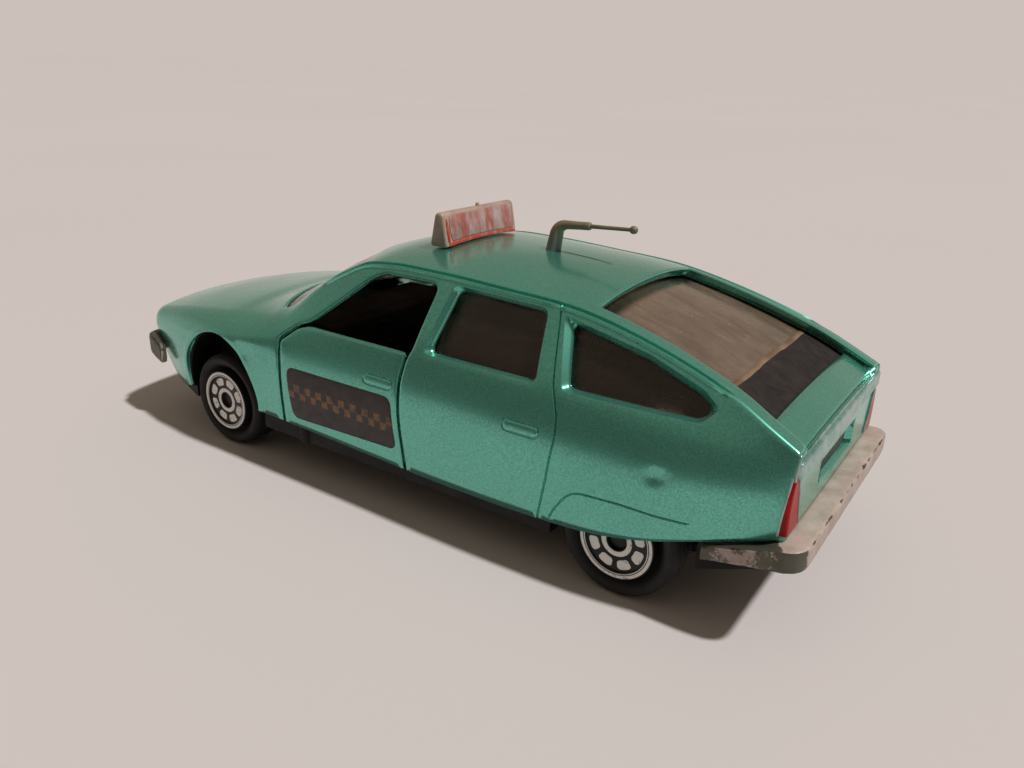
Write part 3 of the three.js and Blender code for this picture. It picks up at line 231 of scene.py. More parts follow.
sill_z = key_line(
    (-1, 12.8), (-0.68, 11.4), (-0.45, 10.2), (-0.22, 9.0), (0, 8.1), (0.08, 7.3), (0.15, 7.0), (0.37, 6.8),
    (0.52, 7.1), (0.74, 7.6), (0.88, 7.8), (1.41, 7.4), (1.59, 6.9), (1.79, 9.2), (1.92, 12.2), (2, 13.8))
sill_y = key_line(
    (-1, 17.4), (-0.68, 18.8), (-0.33, 19.7), (0, 20.0), (0.1, 19.9), (0.52, 19.7), (0.88, 19.65),
    (1.2, 19.4), (1.46, 18.6), (1.72, 17.4), (2, 16.3))
wide_z = key_line(
    (-1, 15.0), (-0.4, 14.8), (0.06, 15.7), (0.52, 16.0), (0.82, 15.8), (1.2, 15.3), (2, 15.0))
wide_y = key_line(
    (-1, 17.7), (-0.68, 19.1), (-0.33, 20.0), (0.06, 20.4), (0.52, 20.2), (0.88, 20.15), (1.1, 19.9),
    (1.46, 19.0), (1.77, 17.6), (2, 16.5))
belt_z = key_line(
    (-1, 19.0), (-0.68, 20.0), (-0.33, 21.0), (0.06, 21.8), (0.52, 21.8), (0.7, 21.4), (0.85, 20.2),
    (1, 19.0), (1.62, 17.4), (2, 16.3))
belt_y = key_line(
    (-1, 17.3), (-0.68, 18.2), (-0.33, 18.6), (0.06, 18.9), (0.52, 18.95), (0.7, 19.0), (0.85, 19.05),
    (1, 18.95), (1.46, 18.1), (1.77, 17.1), (2, 16.3))
edge_y = key_line(
    (-1, 16.8), (-0.8, 16.4), (-0.63, 15.9), (-0.4, 15.4), (0.02, 14.7), (0.12, 14.4), (0.29, 14.4),
    (0.44, 14.5), (0.55, 14.6), (0.61, 14.8), (0.65, 15.1), (0.73, 16.3), (0.8, 17.3), (0.85, 17.5),
    (1, 17.3), (1.62, 16.6), (2, 15.8))
edge_z = key_line(
    (-1, 21.9), (-0.8, 23.7), (-0.63, 25.2), (-0.4, 26.7), (0.02, 29.2), (0.12, 30.6), (0.29, 31.4),
    (0.44, 31.8), (0.55, 31.7), (0.61, 31.1), (0.65, 29.9), (0.73, 26.6), (0.8, 22.95), (0.85, 21.65),
    (1, 20.4), (1.62, 18.7), (2, 17.3))
top_z = key_line(
    (-1, 22.3), (-0.8, 24.2), (-0.33, 28.0), (0.02, 30.4), (0.12, 32.2), (0.275, 33.3), (0.4, 33.5),
    (0.52, 33.3), (0.59, 32.9), (0.65, 32.0), (0.73, 30.1), (0.82, 26.8), (0.895, 23.9), (0.94, 22.7),
    (1, 22.2), (1.31, 21.2), (1.67, 19.9), (2, 18.1))


def levels(x):
    heights = np.stack([sill_z(x), wide_z(x), belt_z(x), edge_z(x)], axis=-1)
    widths = np.stack([sill_y(x), wide_y(x), belt_y(x), edge_y(x)], axis=-1)
    return heights, widths


def roof_z(x, y):
    return top_z(x) - (top_z(x) - edge_z(x)) * (np.abs(y) / edge_y(x)) ** 2.2


def side_point(x, t):
    heights, widths = levels(x)
    band = np.clip(np.floor(t), 0, 2).astype(int)[..., None]
    low = np.take_along_axis(heights, band, -1)[..., 0]
    high = np.take_along_axis(heights, band + 1, -1)[..., 0]
    z = low + (t - band[..., 0]) * (high - low)
    return hermite(z, heights, widths), z


def top_point(x, t):
    y = edge_y(x) * (4 - t)
    return y, roof_z(x, np.maximum(y, 0))


def skin_point(x, t):
    """The left half of the skin: t is 0 at the sill, 1 and 2 at the widest line and the belt, 3 at the roof
    edge and 4 in the middle of the car. The roof edge and the tops of the wings are rounded."""
    x, t = np.broadcast_arrays(np.asarray(x, float), np.asarray(t, float))
    side = side_point(x, np.minimum(t, 3))
    top = top_point(x, np.maximum(t, 3))
    y, z = np.where(t < 3, side[0], top[0]), np.where(t < 3, side[1], top[1])
    ends = levels(x)
    window_height = np.hypot(ends[0][..., 3] - ends[0][..., 2], ends[1][..., 3] - ends[1][..., 2])
    radius = np.interp(x, (10, 20), (0.5, 1.4))
    below = np.clip(radius / window_height, 0, 0.9)
    above = np.clip(radius / edge_y(x), 0, 0.5)
    u = np.clip((t - 3 + below) / (below + above), 0, 1)
    start, end = side_point(x, 3 - below), top_point(x, 3 + above)
    corner = (edge_y(x), edge_z(x))
    curved = [(1 - u) ** 2 * a + 2 * u * (1 - u) * c + u * u * b for a, c, b in zip(start, corner, end)]
    inside = (u > 0) & (u < 1)
    y, z = np.where(inside, curved[0], y), np.where(inside, curved[1], z)
    ahead = np.clip((x - FRONT_AXLE) / (NOSE - FRONT_AXLE), 0, None)
    bowed = x + NOSE_BOW * ahead**2 * np.clip(1 - (y / edge_y(x)) ** 2, 0, None)
    return np.stack([bowed, y, z], axis=-1)


def skin_normal(x, t):
    step_x, step_t = 0.05, 0.01
    along = skin_point(np.minimum(x + step_x, NOSE), t) - skin_point(np.maximum(x - step_x, TAIL), t)
    up = skin_point(x, np.minimum(t + step_t, 4)) - skin_point(x, np.maximum(t - step_t, 0))
    normal = np.cross(up, along)
    normal[..., 1] = np.where(np.asarray(t) > 3.999, 0, normal[..., 1])
    return normal / np.linalg.norm(normal, axis=-1, keepdims=True)


SPREAD = ((0, 1, 2, 3, 4), (0, 6.5, 14.5, 25, 40))  # t as a length over the skin, for even triangles


def t_of_side(x, z):
    heights, _ = levels(np.asarray(x, float))
    return np.array([np.interp(b, a, (0, 1, 2, 3)) for a, b in zip(heights, z)])


def rounded(corners, radius, step=0.3):
    """A closed outline through corners with rounded turns, as evenly spaced points."""
    corners = np.array(corners, float)
    points = []
    for before, corner, after in zip(np.roll(corners, 1, 0), corners, np.roll(corners, -1, 0)):
        cut = [min(radius, np.linalg.norm(end - corner) / 2.2) for end in (before, after)]
        a = corner + (before - corner) / np.linalg.norm(before - corner) * cut[0]
        b = corner + (after - corner) / np.linalg.norm(after - corner) * cut[1]
        u = np.linspace(0, 1, 9)[:, None]
        points.append((1 - u) ** 2 * a + 2 * u * (1 - u) * corner + u * u * b)
    return evenly(np.concatenate(points + [points[0][:1]]), step)[:-1]


def evenly(points, step):
    lengths = np.concatenate([[0], np.cumsum(np.linalg.norm(np.diff(points, axis=0), axis=1))])
    count = max(2, int(round(lengths[-1] / step)) + 1)
    at = np.linspace(0, lengths[-1], count)
    return np.stack([np.interp(at, lengths, points[:, k]) for k in range(points.shape[1])], axis=1)


def shifted(points, distance, closed):
    """An outline moved sideways: to its outside if it is closed and runs anticlockwise."""
    if closed:
        run = np.roll(points, -1, 0) - np.roll(points, 1, 0)
    else:
        run = np.gradient(points, axis=0)
    run = run / np.linalg.norm(run, axis=1, keepdims=True)
    return points + distance * np.stack([run[:, 1], -run[:, 0]], axis=1)


def anticlockwise(points):
    area = np.sum(points[:, 0] * np.roll(points[:, 1], -1) - np.roll(points[:, 0], -1) * points[:, 1])
    return points if area > 0 else points[::-1]


def within(points, outline):
    """Which points lie inside a closed outline."""
    x, y = points[:, 0], points[:, 1]
    result = np.zeros(len(points), bool)
    for (x0, y0), (x1, y1) in zip(outline, np.roll(outline, -1, 0)):
        crosses = (y0 > y) != (y1 > y)
        edge_x = x0 + (y - y0) * (x1 - x0) / (y1 - y0 if y1 != y0 else 1e-12)
        result ^= crosses & (x < edge_x)
    return result


def side_row(points, closed, drop, worn):
    """A row of skin points (x, t, drop) along a line [x, z] on the body side, cut off at the sill."""
    sill = sill_z(points[:, 0])
    keep = points[:, 1] > sill + 0.05
    if keep.all():
        t = t_of_side(points[:, 0], points[:, 1])
        return [(np.stack([points[:, 0], t], 1), drop, closed, worn)]
    first = int(np.argmax(keep & ~np.roll(keep, 1))) if closed else 0
    order = np.roll(np.arange(len(points)), -first)
    runs = points[order][keep[order]]
    t = t_of_side(runs[:, 0], runs[:, 1])
    row = np.stack([runs[:, 0], t], 1)
    foot = [[row[0, 0] * 2 - row[1, 0], 0], [row[-1, 0] * 2 - row[-2, 0], 0]]
    if keep[0] and not closed:
        row = np.concatenate([row, foot[1:]])
    elif keep[-1] and not closed:
        row = np.concatenate([foot[:1], row])
    else:
        row = np.concatenate([foot[:1], row, foot[1:]])
    return [(row, drop, False, worn)]


LIP = ((0, 0.3, 1), (0.12, 0.1, 1), (0.3, 0.015, 0.5), (0.5, 0, 0))  # distance from an edge, drop, wear
REVEAL = ((0, 0.75, 0), (0.45, 0.5, 0), (0.8, 0.16, 0.4), (1, 0.02, 1), (1.35, 0, 0))


def opening(outline, lip):
    """Rows round an opening [x, z] in the body side, its outline and the outer edge of its lip."""
    outline = anticlockwise(outline)
    rows = []
    for distance, drop, worn in lip:
        rows += side_row(shifted(outline, distance, True), True, -drop, worn)
    return rows, outline, shifted(outline, lip[-1][0], True)


def framed_opening(glass, frame_line, radius):
    """The same for a window whose sloped reveal runs from the glass out to a line of its own."""
    glass, frame_line = np.array(glass), np.array(frame_line)
    rows = []
    for share, drop, worn in REVEAL:
        outline = anticlockwise(rounded(glass + share * (frame_line - glass), radius))
        rows += side_row(outline, True, -drop, worn)
    return rows, anticlockwise(rounded(glass, radius)), outline


def groove(line, half=0.17, depth=0.24):
    """Rows along an engraved line [x, z] on the body side."""
    line = evenly(np.array(line, float), 0.35)
    rows = []
    for share, drop in ((-1, 0), (-0.45, 0.75), (0, 1), (0.45, 0.75), (1, 0)):
        rows += side_row(shifted(line, share * half, False), False, -drop * depth, 0.7 if drop == 0 else 1)
    return rows


def triangles(grid, rows, kept=None):
    """Triangles over flat points: a loose grid, thinned near the rows of (points, drop, closed, worn)."""
    if rows:
        lined = np.concatenate([r[0] for r in rows])
        near = np.zeros(len(grid), bool)
        for part in np.array_split(lined, max(1, len(lined) // 400)):
            near |= (np.linalg.norm(grid[:, None] - part[None], axis=2) < 0.3).any(axis=1)
        grid = grid[~near if kept is None else ~near | kept]
    points, edges, drops, worn = [grid], [], [np.zeros(len(grid))], [np.zeros(len(grid))]
    start = len(grid)
    for line, row_drop, closed, row_worn in rows:
        index = np.arange(start, start + len(line))
        follow = np.roll(index, -1)
        edges += [(int(a), int(b)) for a, b in zip(index, follow)][: len(line) if closed else len(line) - 1]
        points.append(line)
        drops.append(np.zeros(len(line)) + row_drop)
        worn.append(np.zeros(len(line)) + row_worn)
        start += len(line)
    points, drops, worn = np.concatenate(points), np.concatenate(drops), np.concatenate(worn)
    found = delaunay_2d_cdt([Vector(p) for p in points], edges, [], 0, 1e-4, True)
    flat = np.array([tuple(v) for v in found[0]])
    faces = np.array([f for f in found[2] if len(f) == 3])[:, ::-1]
    origin = [[i for i in ids if i < len(points)] for ids in found[3]]
    first = np.array([max(ids, key=lambda i: abs(drops[i])) if ids else -1 for ids in origin])
    return flat, faces, np.where(first >= 0, drops[first], 0), np.where(first >= 0, worn[first], 0)


def sheet(xs, ts, rows, removed, drop=0.0, rounds=(0, 0), clear=()):
    """Triangles over the skin: a grid of places and levels plus rows, less what removed() picks. The grid
    keeps out of the clear outlines, and the ends are rounded. Returns points, triangles and how worn each
    point is."""

    def spread(t):
        return np.interp(t, *SPREAD)

    gx, gt = (g.ravel() for g in np.meshgrid(xs, ts, indexing="ij"))
    spot = np.stack([gx, side_point(gx, np.minimum(gt, 3))[1]], axis=1)
    busy = np.zeros(len(gx), bool)
    for outline in clear:
        busy |= within(spot, outline) & (gt < 3)
    grid = np.stack([gx, spread(gt)], axis=1)
    low, high = grid.min(axis=0), grid.max(axis=0)
    corner = ((np.abs(grid - low) < 1e-6) | (np.abs(grid - high) < 1e-6)).all(axis=1)
    grid, corner = grid[~busy | corner], corner[~busy | corner]
    flat_rows = [(np.stack([r[0][:, 0], spread(r[0][:, 1])], 1), *r[1:]) for r in rows]
    flat, faces, drops, worn = triangles(grid, flat_rows, corner)
    drops = drops + drop
    x, t = flat[:, 0], np.interp(flat[:, 1], SPREAD[1], SPREAD[0])
    faces = faces[~removed(x[faces].mean(axis=1), t[faces].mean(axis=1))]
    for end, radius in zip((xs[0], xs[-1]), rounds):
        e = np.clip(radius - np.abs(x - end), 0, radius)
        drops = drops - (radius - np.sqrt(radius**2 - e**2))
    points = skin_point(x, t) + drops[:, None] * skin_normal(x, t)
    points[t > 3.9999, 1] = 0
    used = np.unique(faces)
    renumber = np.full(len(points), -1)
    renumber[used] = np.arange(len(used))
    return points[used], renumber[faces], worn[used]


def with_mirror(points, faces, worn):
    """Both sides of the car from the left one, joined along the middle."""
    middle = np.abs(points[:, 1]) < 1e-6
    other = np.where(middle, np.arange(len(points)), len(points) + np.cumsum(~middle) - 1)
    right = points[~middle] * (1, -1, 1)
    return (
        np.concatenate([points, right]),
        np.concatenate([faces, other[faces][:, ::-1]]),
        np.concatenate([worn, worn[~middle]]),
    )


def make(name, points, faces, material, worn=None, smooth=40):
    """A mesh object from points in millimetres."""
    mesh = bpy.data.meshes.new(name)
    mesh.from_pydata((np.asarray(points) * MM).tolist(), [], [list(map(int, f)) for f in faces])
    mesh.update()
    if worn is not None:
        mesh.attributes.new("worn", "FLOAT", "POINT").data.foreach_set("value", np.asarray(worn, float))
    mesh.shade_smooth()
    mesh.set_sharp_from_angle(angle=math.radians(smooth))
    mesh.materials.append(material)
    piece = bpy.data.objects.new(name, mesh)
    scene.collection.objects.link(piece)
    return piece


def thicken(piece, depth):
    solid = piece.modifiers.new("wall", "SOLIDIFY")
    solid.thickness = depth * MM
    solid.offset = -1
    solid.use_even_offset = False
    return piece


def carried(tree, name):
    """A value that the mesh carries at its points."""
    node = tree.nodes.new("ShaderNodeAttribute")
    node.attribute_name = name
    return node.outputs["Fac"]


# Enamel: a teal base full of fine bright flakes, with dark specks where it is chipped along lips and lines
enamel, tree, shader = plain(
    "enamel", (0.142, 0.52, 0.42), metallic=0.78, roughness=0.24, coat_weight=0.5, coat_roughness=0.1)
flake = noise(tree, 4300, 1.0, 0.6)
cloud = noise(tree, 60, 3.0)
tone = ramp(tree, cloud, [(0.35, (0.136, 0.505, 0.408)), (0.65, (0.149, 0.538, 0.437))])
sparkle = ramp(tree, flake, [(0.4, (0.84, 0.87, 0.86)), (0.62, (1.13, 1.1, 1.08))])
teal = mixed(tree, 1.0, tone, sparkle, "MULTIPLY")
worn_edge = carried(tree, "worn")
patchy = ramp(tree, noise(tree, 1500, 4.0, 0.7), [(0.66, 0.0), (0.74, 1.0)])
chipped = maths(tree, "MULTIPLY", worn_edge, patchy)
specks = ramp(tree, noise(tree, 900, 2.0, 0.6), [(0.78, 0.0), (0.81, 1.0)])
marked = maths(tree, "MAXIMUM", chipped, specks)
feed(shader, "Base Color", mixed(tree, marked, teal, (0.028, 0.045, 0.04)))
feed(shader, "Roughness", ramp(tree, flake, [(0.3, 0.275), (0.7, 0.21)]))
feed(shader, "Metallic", ramp(tree, marked, [(0.0, 0.78), (1.0, 0.1)]))
bump(tree, shader, noise(tree, 500, 2.0), 0.00001, 0.25)

PIN_X, PIN_Y = 15.133, 18.2
DOOR_SWING, DOOR_GAP = 3.2, 0.3  # from the pin to the door's front edge, and from there to the wing


def wing_edge(radius, z):
    """Where a cylinder about the door pin meets the skin, [x, z]."""
    x = np.full(len(z), PIN_X + radius)
    for _ in range(6):
        y = skin_point(x, t_of_side(x, z))[:, 1]
        x = PIN_X + np.sqrt(np.clip(radius**2 - (y - PIN_Y) ** 2, 0.1, None))
    return np.stack([x, z], axis=1)


wing_front = wing_edge(DOOR_SWING + DOOR_GAP, np.linspace(8.0, 19.9, 12))
front_opening = rounded([
    (15.1, 22.15), (13.2, 22.75), (4.8, 29.3), (2.5, 30.5), (-6.28, 30.5), (-4.85, 22.9), (-4.25, 21.9),
    (-3.75, 18.8), (-3.95, 15), (-4.6, 4), (wing_front[0, 0], 4), *map(tuple, wing_front)], 1.0)
rear_glass = ((-9.3, 30.5), (-21.4, 30.0), (-22.4, 23.2), (-7.4, 23.2))
rear_frame = ((-8.5, 30.85), (-21.75, 30.35), (-22.85, 22.85), (-6.5, 22.85))
quarter_glass = ((-25.1, 29.4), (-34.7, 27.4), (-40.8, 25.3), (-42.4, 24.2), (-41.4, 23.2), (-26.8, 23.3))
quarter_frame = ((-23.9, 30.0), (-34.6, 27.9), (-41.1, 25.75), (-43.2, 24.3), (-41.7, 22.7), (-26.1, 22.8))
angle = np.linspace(0, 2 * math.pi, 160, endpoint=False)
ARCH, ARCH_Z = 8.5, 9.3
front_arch = np.stack([FRONT_AXLE + ARCH * np.cos(angle), ARCH_Z + ARCH * np.sin(angle)], axis=1)
FLARE = ((0, 0.04, 1), (0.15, -0.07, 1), (0.5, -0.09, 0.3), (0.9, -0.05, 0), (1.3, 0, 0))

cuts, clear, rows = [], [], []
for more, cut, outer in (
        opening(front_opening, LIP), framed_opening(rear_glass, rear_frame, 0.9),
        framed_opening(quarter_glass, quarter_frame, 0.6), opening(front_arch, FLARE)):
    rows += more
    cuts.append(cut)
    clear.append(outer)
rear_shut = [
    (-23.1, 30.9), (-23.9, 27.6), (-25.0, 23.1), (-25.7, 21.4), (-26.2, 20.0), (-26.4, 18.2), (-26.3, 16.4),
    (-25.8, 12.8), (-25.2, 10.2), (-24.6, 7.6), (-24.4, 6.0)]
skirt_line = [
    (-26.2, 7.9), (-26.8, 9.1), (-27.6, 10.3), (-28.3, 11.2), (-29.1, 11.9), (-30.2, 12.25), (-34.9, 12.5),
    (-39, 12.35), (-42.2, 12.4)]
rows += groove(rear_shut) + groove(skirt_line, 0.15, 0.2)

HANDLE = (  # distance from the outline, rise, wear
    (0.26, 0, 0), (0.18, -0.12, 0.6), (0.08, -0.12, 0.8), (0, 0, 0.4), (-0.1, 0.06, 0.2), (-0.3, 0.08, 0))
HANDLE_HALF, HANDLE_RISE = 2.3, 0.55


def handle_rows(x, z):
    """The raised bar of a door handle in its fine oval groove."""
    corners = [(x + a * HANDLE_HALF, z + b * HANDLE_RISE) for a, b in ((-1, -1), (1, -1), (1, 1), (-1, 1))]
    outline = anticlockwise(rounded(corners, 0.5))
    handle = []
    for distance, rise, worn in HANDLE:
        handle += side_row(shifted(outline, distance, True), True, rise, worn)
    return handle, shifted(outline, HANDLE[0][0], True)


more, outer = handle_rows(-21.95, 17.7)
rows += more
clear.append(outer)

# The rain gutter: two fine beads with a channel between them along the roof edge
GUTTER = (  # distance above the roof edge, rise, wear
    (-0.5, -0.06, 0.6), (-0.36, 0.2, 0.3), (-0.18, 0.18, 0.6), (-0.07, -0.3, 1), (0.1, -0.3, 1),
    (0.24, 0.14, 0.8), (0.42, 0.16, 0.2), (0.6, 0, 0))
GUTTER_REAR, GUTTER_FRONT, GUTTER_RUN_OUT = -44.2, 13.5, 2.5
gutter_x = np.linspace(GUTTER_REAR, GUTTER_FRONT, 160)
gutter_fade = np.clip(np.minimum(gutter_x - GUTTER_REAR, GUTTER_FRONT - gutter_x) / GUTTER_RUN_OUT, 0, 1)
heights, widths = levels(gutter_x)
window_run = np.hypot(heights[:, 3] - heights[:, 2], widths[:, 3] - widths[:, 2])
for distance, rise, worn in GUTTER:
    gutter_t = 3 + np.where(distance < 0, distance / window_run, distance / edge_y(gutter_x))
    rows.append((np.stack([gutter_x, gutter_t], 1), rise * gutter_fade, False, worn))


def top_row(points, drop, worn):
    """A row of skin points from places [x, y] on the top of the body."""
    t = 4 - np.abs(points[:, 1]) / edge_y(points[:, 0])
    return (np.stack([points[:, 0], t], 1), drop, False, worn)


REAR_PANE_TOP = -26.95
well_x = np.linspace(TAIL, REAR_PANE_TOP, 90)
for distance, drop, worn in LIP:
    half = edge_y(well_x) - RAIL + distance
    corner_y = float(edge_y(np.array([REAR_PANE_TOP]))[0]) - RAIL + distance
    across = np.linspace(corner_y, 0, 46)[1:]
    rim = np.concatenate([
        np.stack([well_x, half], 1)[:-1], [[REAR_PANE_TOP + distance, corner_y]],
        np.stack([np.full(45, REAR_PANE_TOP + distance), across], 1)])
    rows.append(top_row(rim, -drop, worn))


def on_windscreen(points):
    """Places [x, y] on the skin for points [y, z] seen from ahead."""
    places = []
    for y, z in points:
        low, high = 6.0, 31.0
        for _ in range(40):
            middle = (low + high) / 2
            if roof_z(np.array([middle]), np.array([y]))[0] > z:
                low = middle
            else:
                high = middle
        places.append((low, y))
    return np.array(places)


screen_outline = rounded([
    (16.2, 22.9), (13.2, 31.1), (-13.2, 31.1), (-16.2, 22.9), (-11, 23.5), (0, 23.7), (11, 23.5)], 1.2)
screen_loop = anticlockwise(on_windscreen(screen_outline))


def screen_half(distance):
    """The left half of the windscreen's outline, moved outwards."""
    moved = shifted(screen_loop, distance, True)
    start = int(np.argmax((moved[:, 1] >= 0) & (np.roll(moved[:, 1], 1) < 0)))
    moved = np.roll(moved, -start, axis=0)
    half = moved[moved[:, 1] > 0.02]
    return np.concatenate([[[half[0, 0], 0]], half, [[half[-1, 0], 0]]])


for distance, drop, worn in LIP:
    rows.append(top_row(screen_half(distance), -drop, worn))


def cut_away(x, t):
    """What the openings remove from the left half of the skin."""
    _, z = side_point(x, np.minimum(t, 3))
    spot = np.stack([x, z], axis=1)
    gone = np.zeros(len(x), bool)
    for outline in cuts:
        gone |= within(spot, outline) & (t < 3)
    y = edge_y(x) * (4 - t)
    gone |= (t > 3) & (x < REAR_PANE_TOP) & (y < edge_y(x) - RAIL)
    return gone | ((t > 3) & within(np.stack([x, y], 1), screen_loop))


grid_x = np.concatenate([
    [TAIL, TAIL + 0.04, TAIL + 0.11, TAIL + 0.2, TAIL + 0.3], np.arange(TAIL + 0.7, NOSE - 0.7, 0.75),
    [NOSE - 0.4, NOSE - 0.22, NOSE - 0.08, NOSE]])
grid_t = np.concatenate([
    np.linspace(0, 1, 9), np.linspace(1, 2, 11)[1:], np.linspace(2, 2.8, 10)[1:],
    [2.84, 2.88, 2.92, 2.95, 2.975, 3.0, 3.012, 3.03, 3.05, 3.075, 3.1], np.linspace(3.13, 4, 24)])
TAIL_ROUND, NOSE_ROUND = 0.3, 0.6
skin = with_mirror(*sheet(grid_x, grid_t, rows, cut_away, 0, (TAIL_ROUND, NOSE_ROUND), clear))

# A small dent in the left rear wing
DENT_X, DENT_Z, DENT_DEPTH = -38.4, 16.6, 0.22
left_flank = skin[0][:, 1] > 0
dent = np.exp(-(((skin[0][:, 0] - DENT_X) / 0.9) ** 2) - ((skin[0][:, 2] - DENT_Z) / 0.6) ** 2)
skin[0][:, 1] -= np.where(left_flank, DENT_DEPTH * dent, 0)
body_skin = thicken(make("body_skin", skin[0], skin[1], enamel, skin[2], 28), WALL)
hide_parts("body_shell")
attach(body_skin, "body")


# The sunken deck, the tail panel and the nose panel close the ends of the same casting. The tail panel has a
# shallow plate recess and a cast rib above it; the nose panel has pockets for the lamps and the grille.
DECK_DROP = 0.9
DECK_ROUND = 0.25
PLATE_HALF, PLATE_FOOT, PLATE_TOP, PLATE_DEPTH = 7.2, 14.4, 17.4, 0.95
POCKET_FOOT, POCKET_TOP = 14.1, 16.4


def dress(piece, body, slot, *nodes):
    """Lets a piece move with its body and stand for the CAD nodes it is drawn over; slot is not used."""
    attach(piece, body)
    if nodes:
        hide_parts(*nodes)
    return piece


def off_deck(x, t):
    return edge_y(x) * (4 - t) > edge_y(x) - RAIL + 0.5


deck_x = np.concatenate([
    [TAIL, TAIL + 0.08, TAIL + 0.22, TAIL + 0.4], np.linspace(TAIL + 0.6, DECK_FRONT, 6)])
deck = with_mirror(*sheet(deck_x, np.linspace(3.08, 4, 18), [], off_deck, -DECK_DROP, (DECK_ROUND, 0)))
deck_panel = thicken(make("deck_panel", deck[0], deck[1], enamel, deck[2]), WALL)
dress(deck_panel, "body", "paint")


def flat_panel(outline, rows=(), holes=()):
    """Triangles over a half outline [y, z] seen from the end of the car, with rows and less holes."""
    low, high = outline.min(axis=0), outline.max(axis=0)
    gy, gz = np.meshgrid(np.arange(low[0], high[0], 0.7), np.arange(low[1], high[1], 0.7))
    grid = np.stack([gy.ravel(), gz.ravel()], axis=1)
    grid = grid[within(grid, outline) & (grid[:, 0] > 0.2)]
    flat, faces, drops, worn = triangles(grid, [(outline, 0, True, 0), *rows])
    middle = flat[faces].mean(axis=1)
    kept = within(middle, outline)
    for hole in holes:
        kept &= ~within(middle, hole)
    return flat, faces[kept], drops, worn


def at_end(x, flat):
    """Points [y, z] set at a place along the car."""
    return np.column_stack([np.broadcast_to(x, len(flat)), flat])


def end_outline(x, t_end, inset):
    t = np.linspace(0, t_end, 60)
    places = np.full(len(t), x)
    rim = skin_point(places, t) - inset * skin_normal(places, t)
    return rim[:, 1:]


def pocket(y0, y1):
    """The outline of a pocket in the nose for a lamp or the grille."""
    corners = [(y0, POCKET_FOOT), (y1, POCKET_FOOT), (y1, POCKET_TOP), (y0, POCKET_TOP)]
    return anticlockwise(rounded(corners, 0.35))


tail_edge = float(edge_y(np.array([TAIL]))[0])


def tail_shape(inset, below_deck):
    """The left half of the tail, seen from behind, between the sill and the deck."""
    rim = end_outline(TAIL, 3 + RAIL / tail_edge, inset)
    deck_y = np.linspace(rim[-1, 0] - 0.05, 0, 24)
    deck_line = np.stack([deck_y, roof_z(np.full(24, TAIL), deck_y) - DECK_DROP - below_deck], axis=1)
    sill_line = np.stack([np.linspace(0, rim[0, 0], 24)[:-1], np.full(23, rim[0, 1])], axis=1)
    return anticlockwise(np.concatenate([rim, deck_line, sill_line]))


tail_outline = tail_shape(TAIL_ROUND, DECK_ROUND)
BACKING = 1.05
flat, faces, _, worn = flat_panel(tail_shape(0.2, 0.2))
backing = with_mirror(at_end(TAIL + BACKING, flat), faces, worn)
tail_backing = thicken(make("tail_backing", backing[0], backing[1], enamel, backing[2]), 0.4)
dress(tail_backing, "body", "paint")

# The recess for the plate: each step is (growth, depth, wear), drawn as a foot, an end and a top line
plate_rows = []
for grow, drop, worn in ((0.25, 0, 0), (0.08, 0.08, 0.7), (0, 0.8, 1), (-0.15, PLATE_DEPTH, 1)):
    end_y, foot, top = PLATE_HALF + grow, PLATE_FOOT - grow, PLATE_TOP + grow
    corners = np.array([(0, foot), (end_y, foot), (end_y, top), (0, top)])
    plate_rows += [(corners[k:k + 2], drop, False, worn) for k in range(3)]
flat, faces, drops, worn = flat_panel(tail_outline, plate_rows)
sunk = (flat[:, 0] < PLATE_HALF - 0.2) & (flat[:, 1] > PLATE_FOOT + 0.2) & (flat[:, 1] < PLATE_TOP - 0.2)
# Heavy chipping over the sunk floor of the recess: darker specks, partly painted shade in the recess
worn = np.where(sunk, 0.85, worn)
tail = with_mirror(at_end(TAIL + np.where(sunk, PLATE_DEPTH, drops), flat), faces, worn)
tail_panel = thicken(make("tail_panel", tail[0], tail[1], enamel, tail[2]), WALL)
dress(tail_panel, "body", "paint")


def bow(y):
    return NOSE_BOW * np.clip(1 - (y / edge_y(np.full(len(y), NOSE))) ** 2, 0, None)


nose_rim = end_outline(NOSE, 4.0, NOSE_ROUND)
nose_sill = np.stack([np.linspace(0, nose_rim[0, 0], 24)[:-1], np.full(23, nose_rim[0, 1])], axis=1)
nose_outline = anticlockwise(np.concatenate([nose_rim, nose_sill]))
lamp_hole, grille_hole = pocket(6.8, 14.9), pocket(-6.2, 6.2)
grille_row = grille_hole[grille_hole[:, 0] > 0]
pocket_middle = (POCKET_FOOT + POCKET_TOP) / 2
grille_row = grille_row[np.argsort(np.arctan2(grille_row[:, 1] - pocket_middle, grille_row[:, 0]))]
grille_row = np.concatenate([[(0, POCKET_FOOT)], grille_row, [(0, POCKET_TOP)]])
pocket_rows = [(lamp_hole, 0.1, True, 1), (grille_row, 0.1, False, 1)]
flat, faces, drops, worn = flat_panel(nose_outline, pocket_rows, (lamp_hole, grille_hole))
nose = with_mirror(at_end(NOSE + bow(flat[:, 0]) - drops, flat), faces, worn)
nose_panel = thicken(make("nose_panel", nose[0], nose[1][:, ::-1], enamel, nose[2]), WALL)
dress(nose_panel, "body", "paint")


def outward(piece):
    """Turns the faces of a mesh to the outside."""
    mesh = bmesh.new()
    mesh.from_mesh(piece.data)
    bmesh.ops.recalc_face_normals(mesh, faces=mesh.faces)
    mesh.to_mesh(piece.data)
    mesh.free()
    return piece


def lofted(rings, count):
    """Faces over a row of rings with as many points each; the last two close the ends."""
    faces = []
    for i in range(rings - 1):
        for k in range(count):
            a, b = i * count + k, i * count + (k + 1) % count
            faces.append((a, b, b + count, a + count))
    last = rings * count
    return faces + [tuple(range(count))[::-1], tuple(range(last - count, last))]


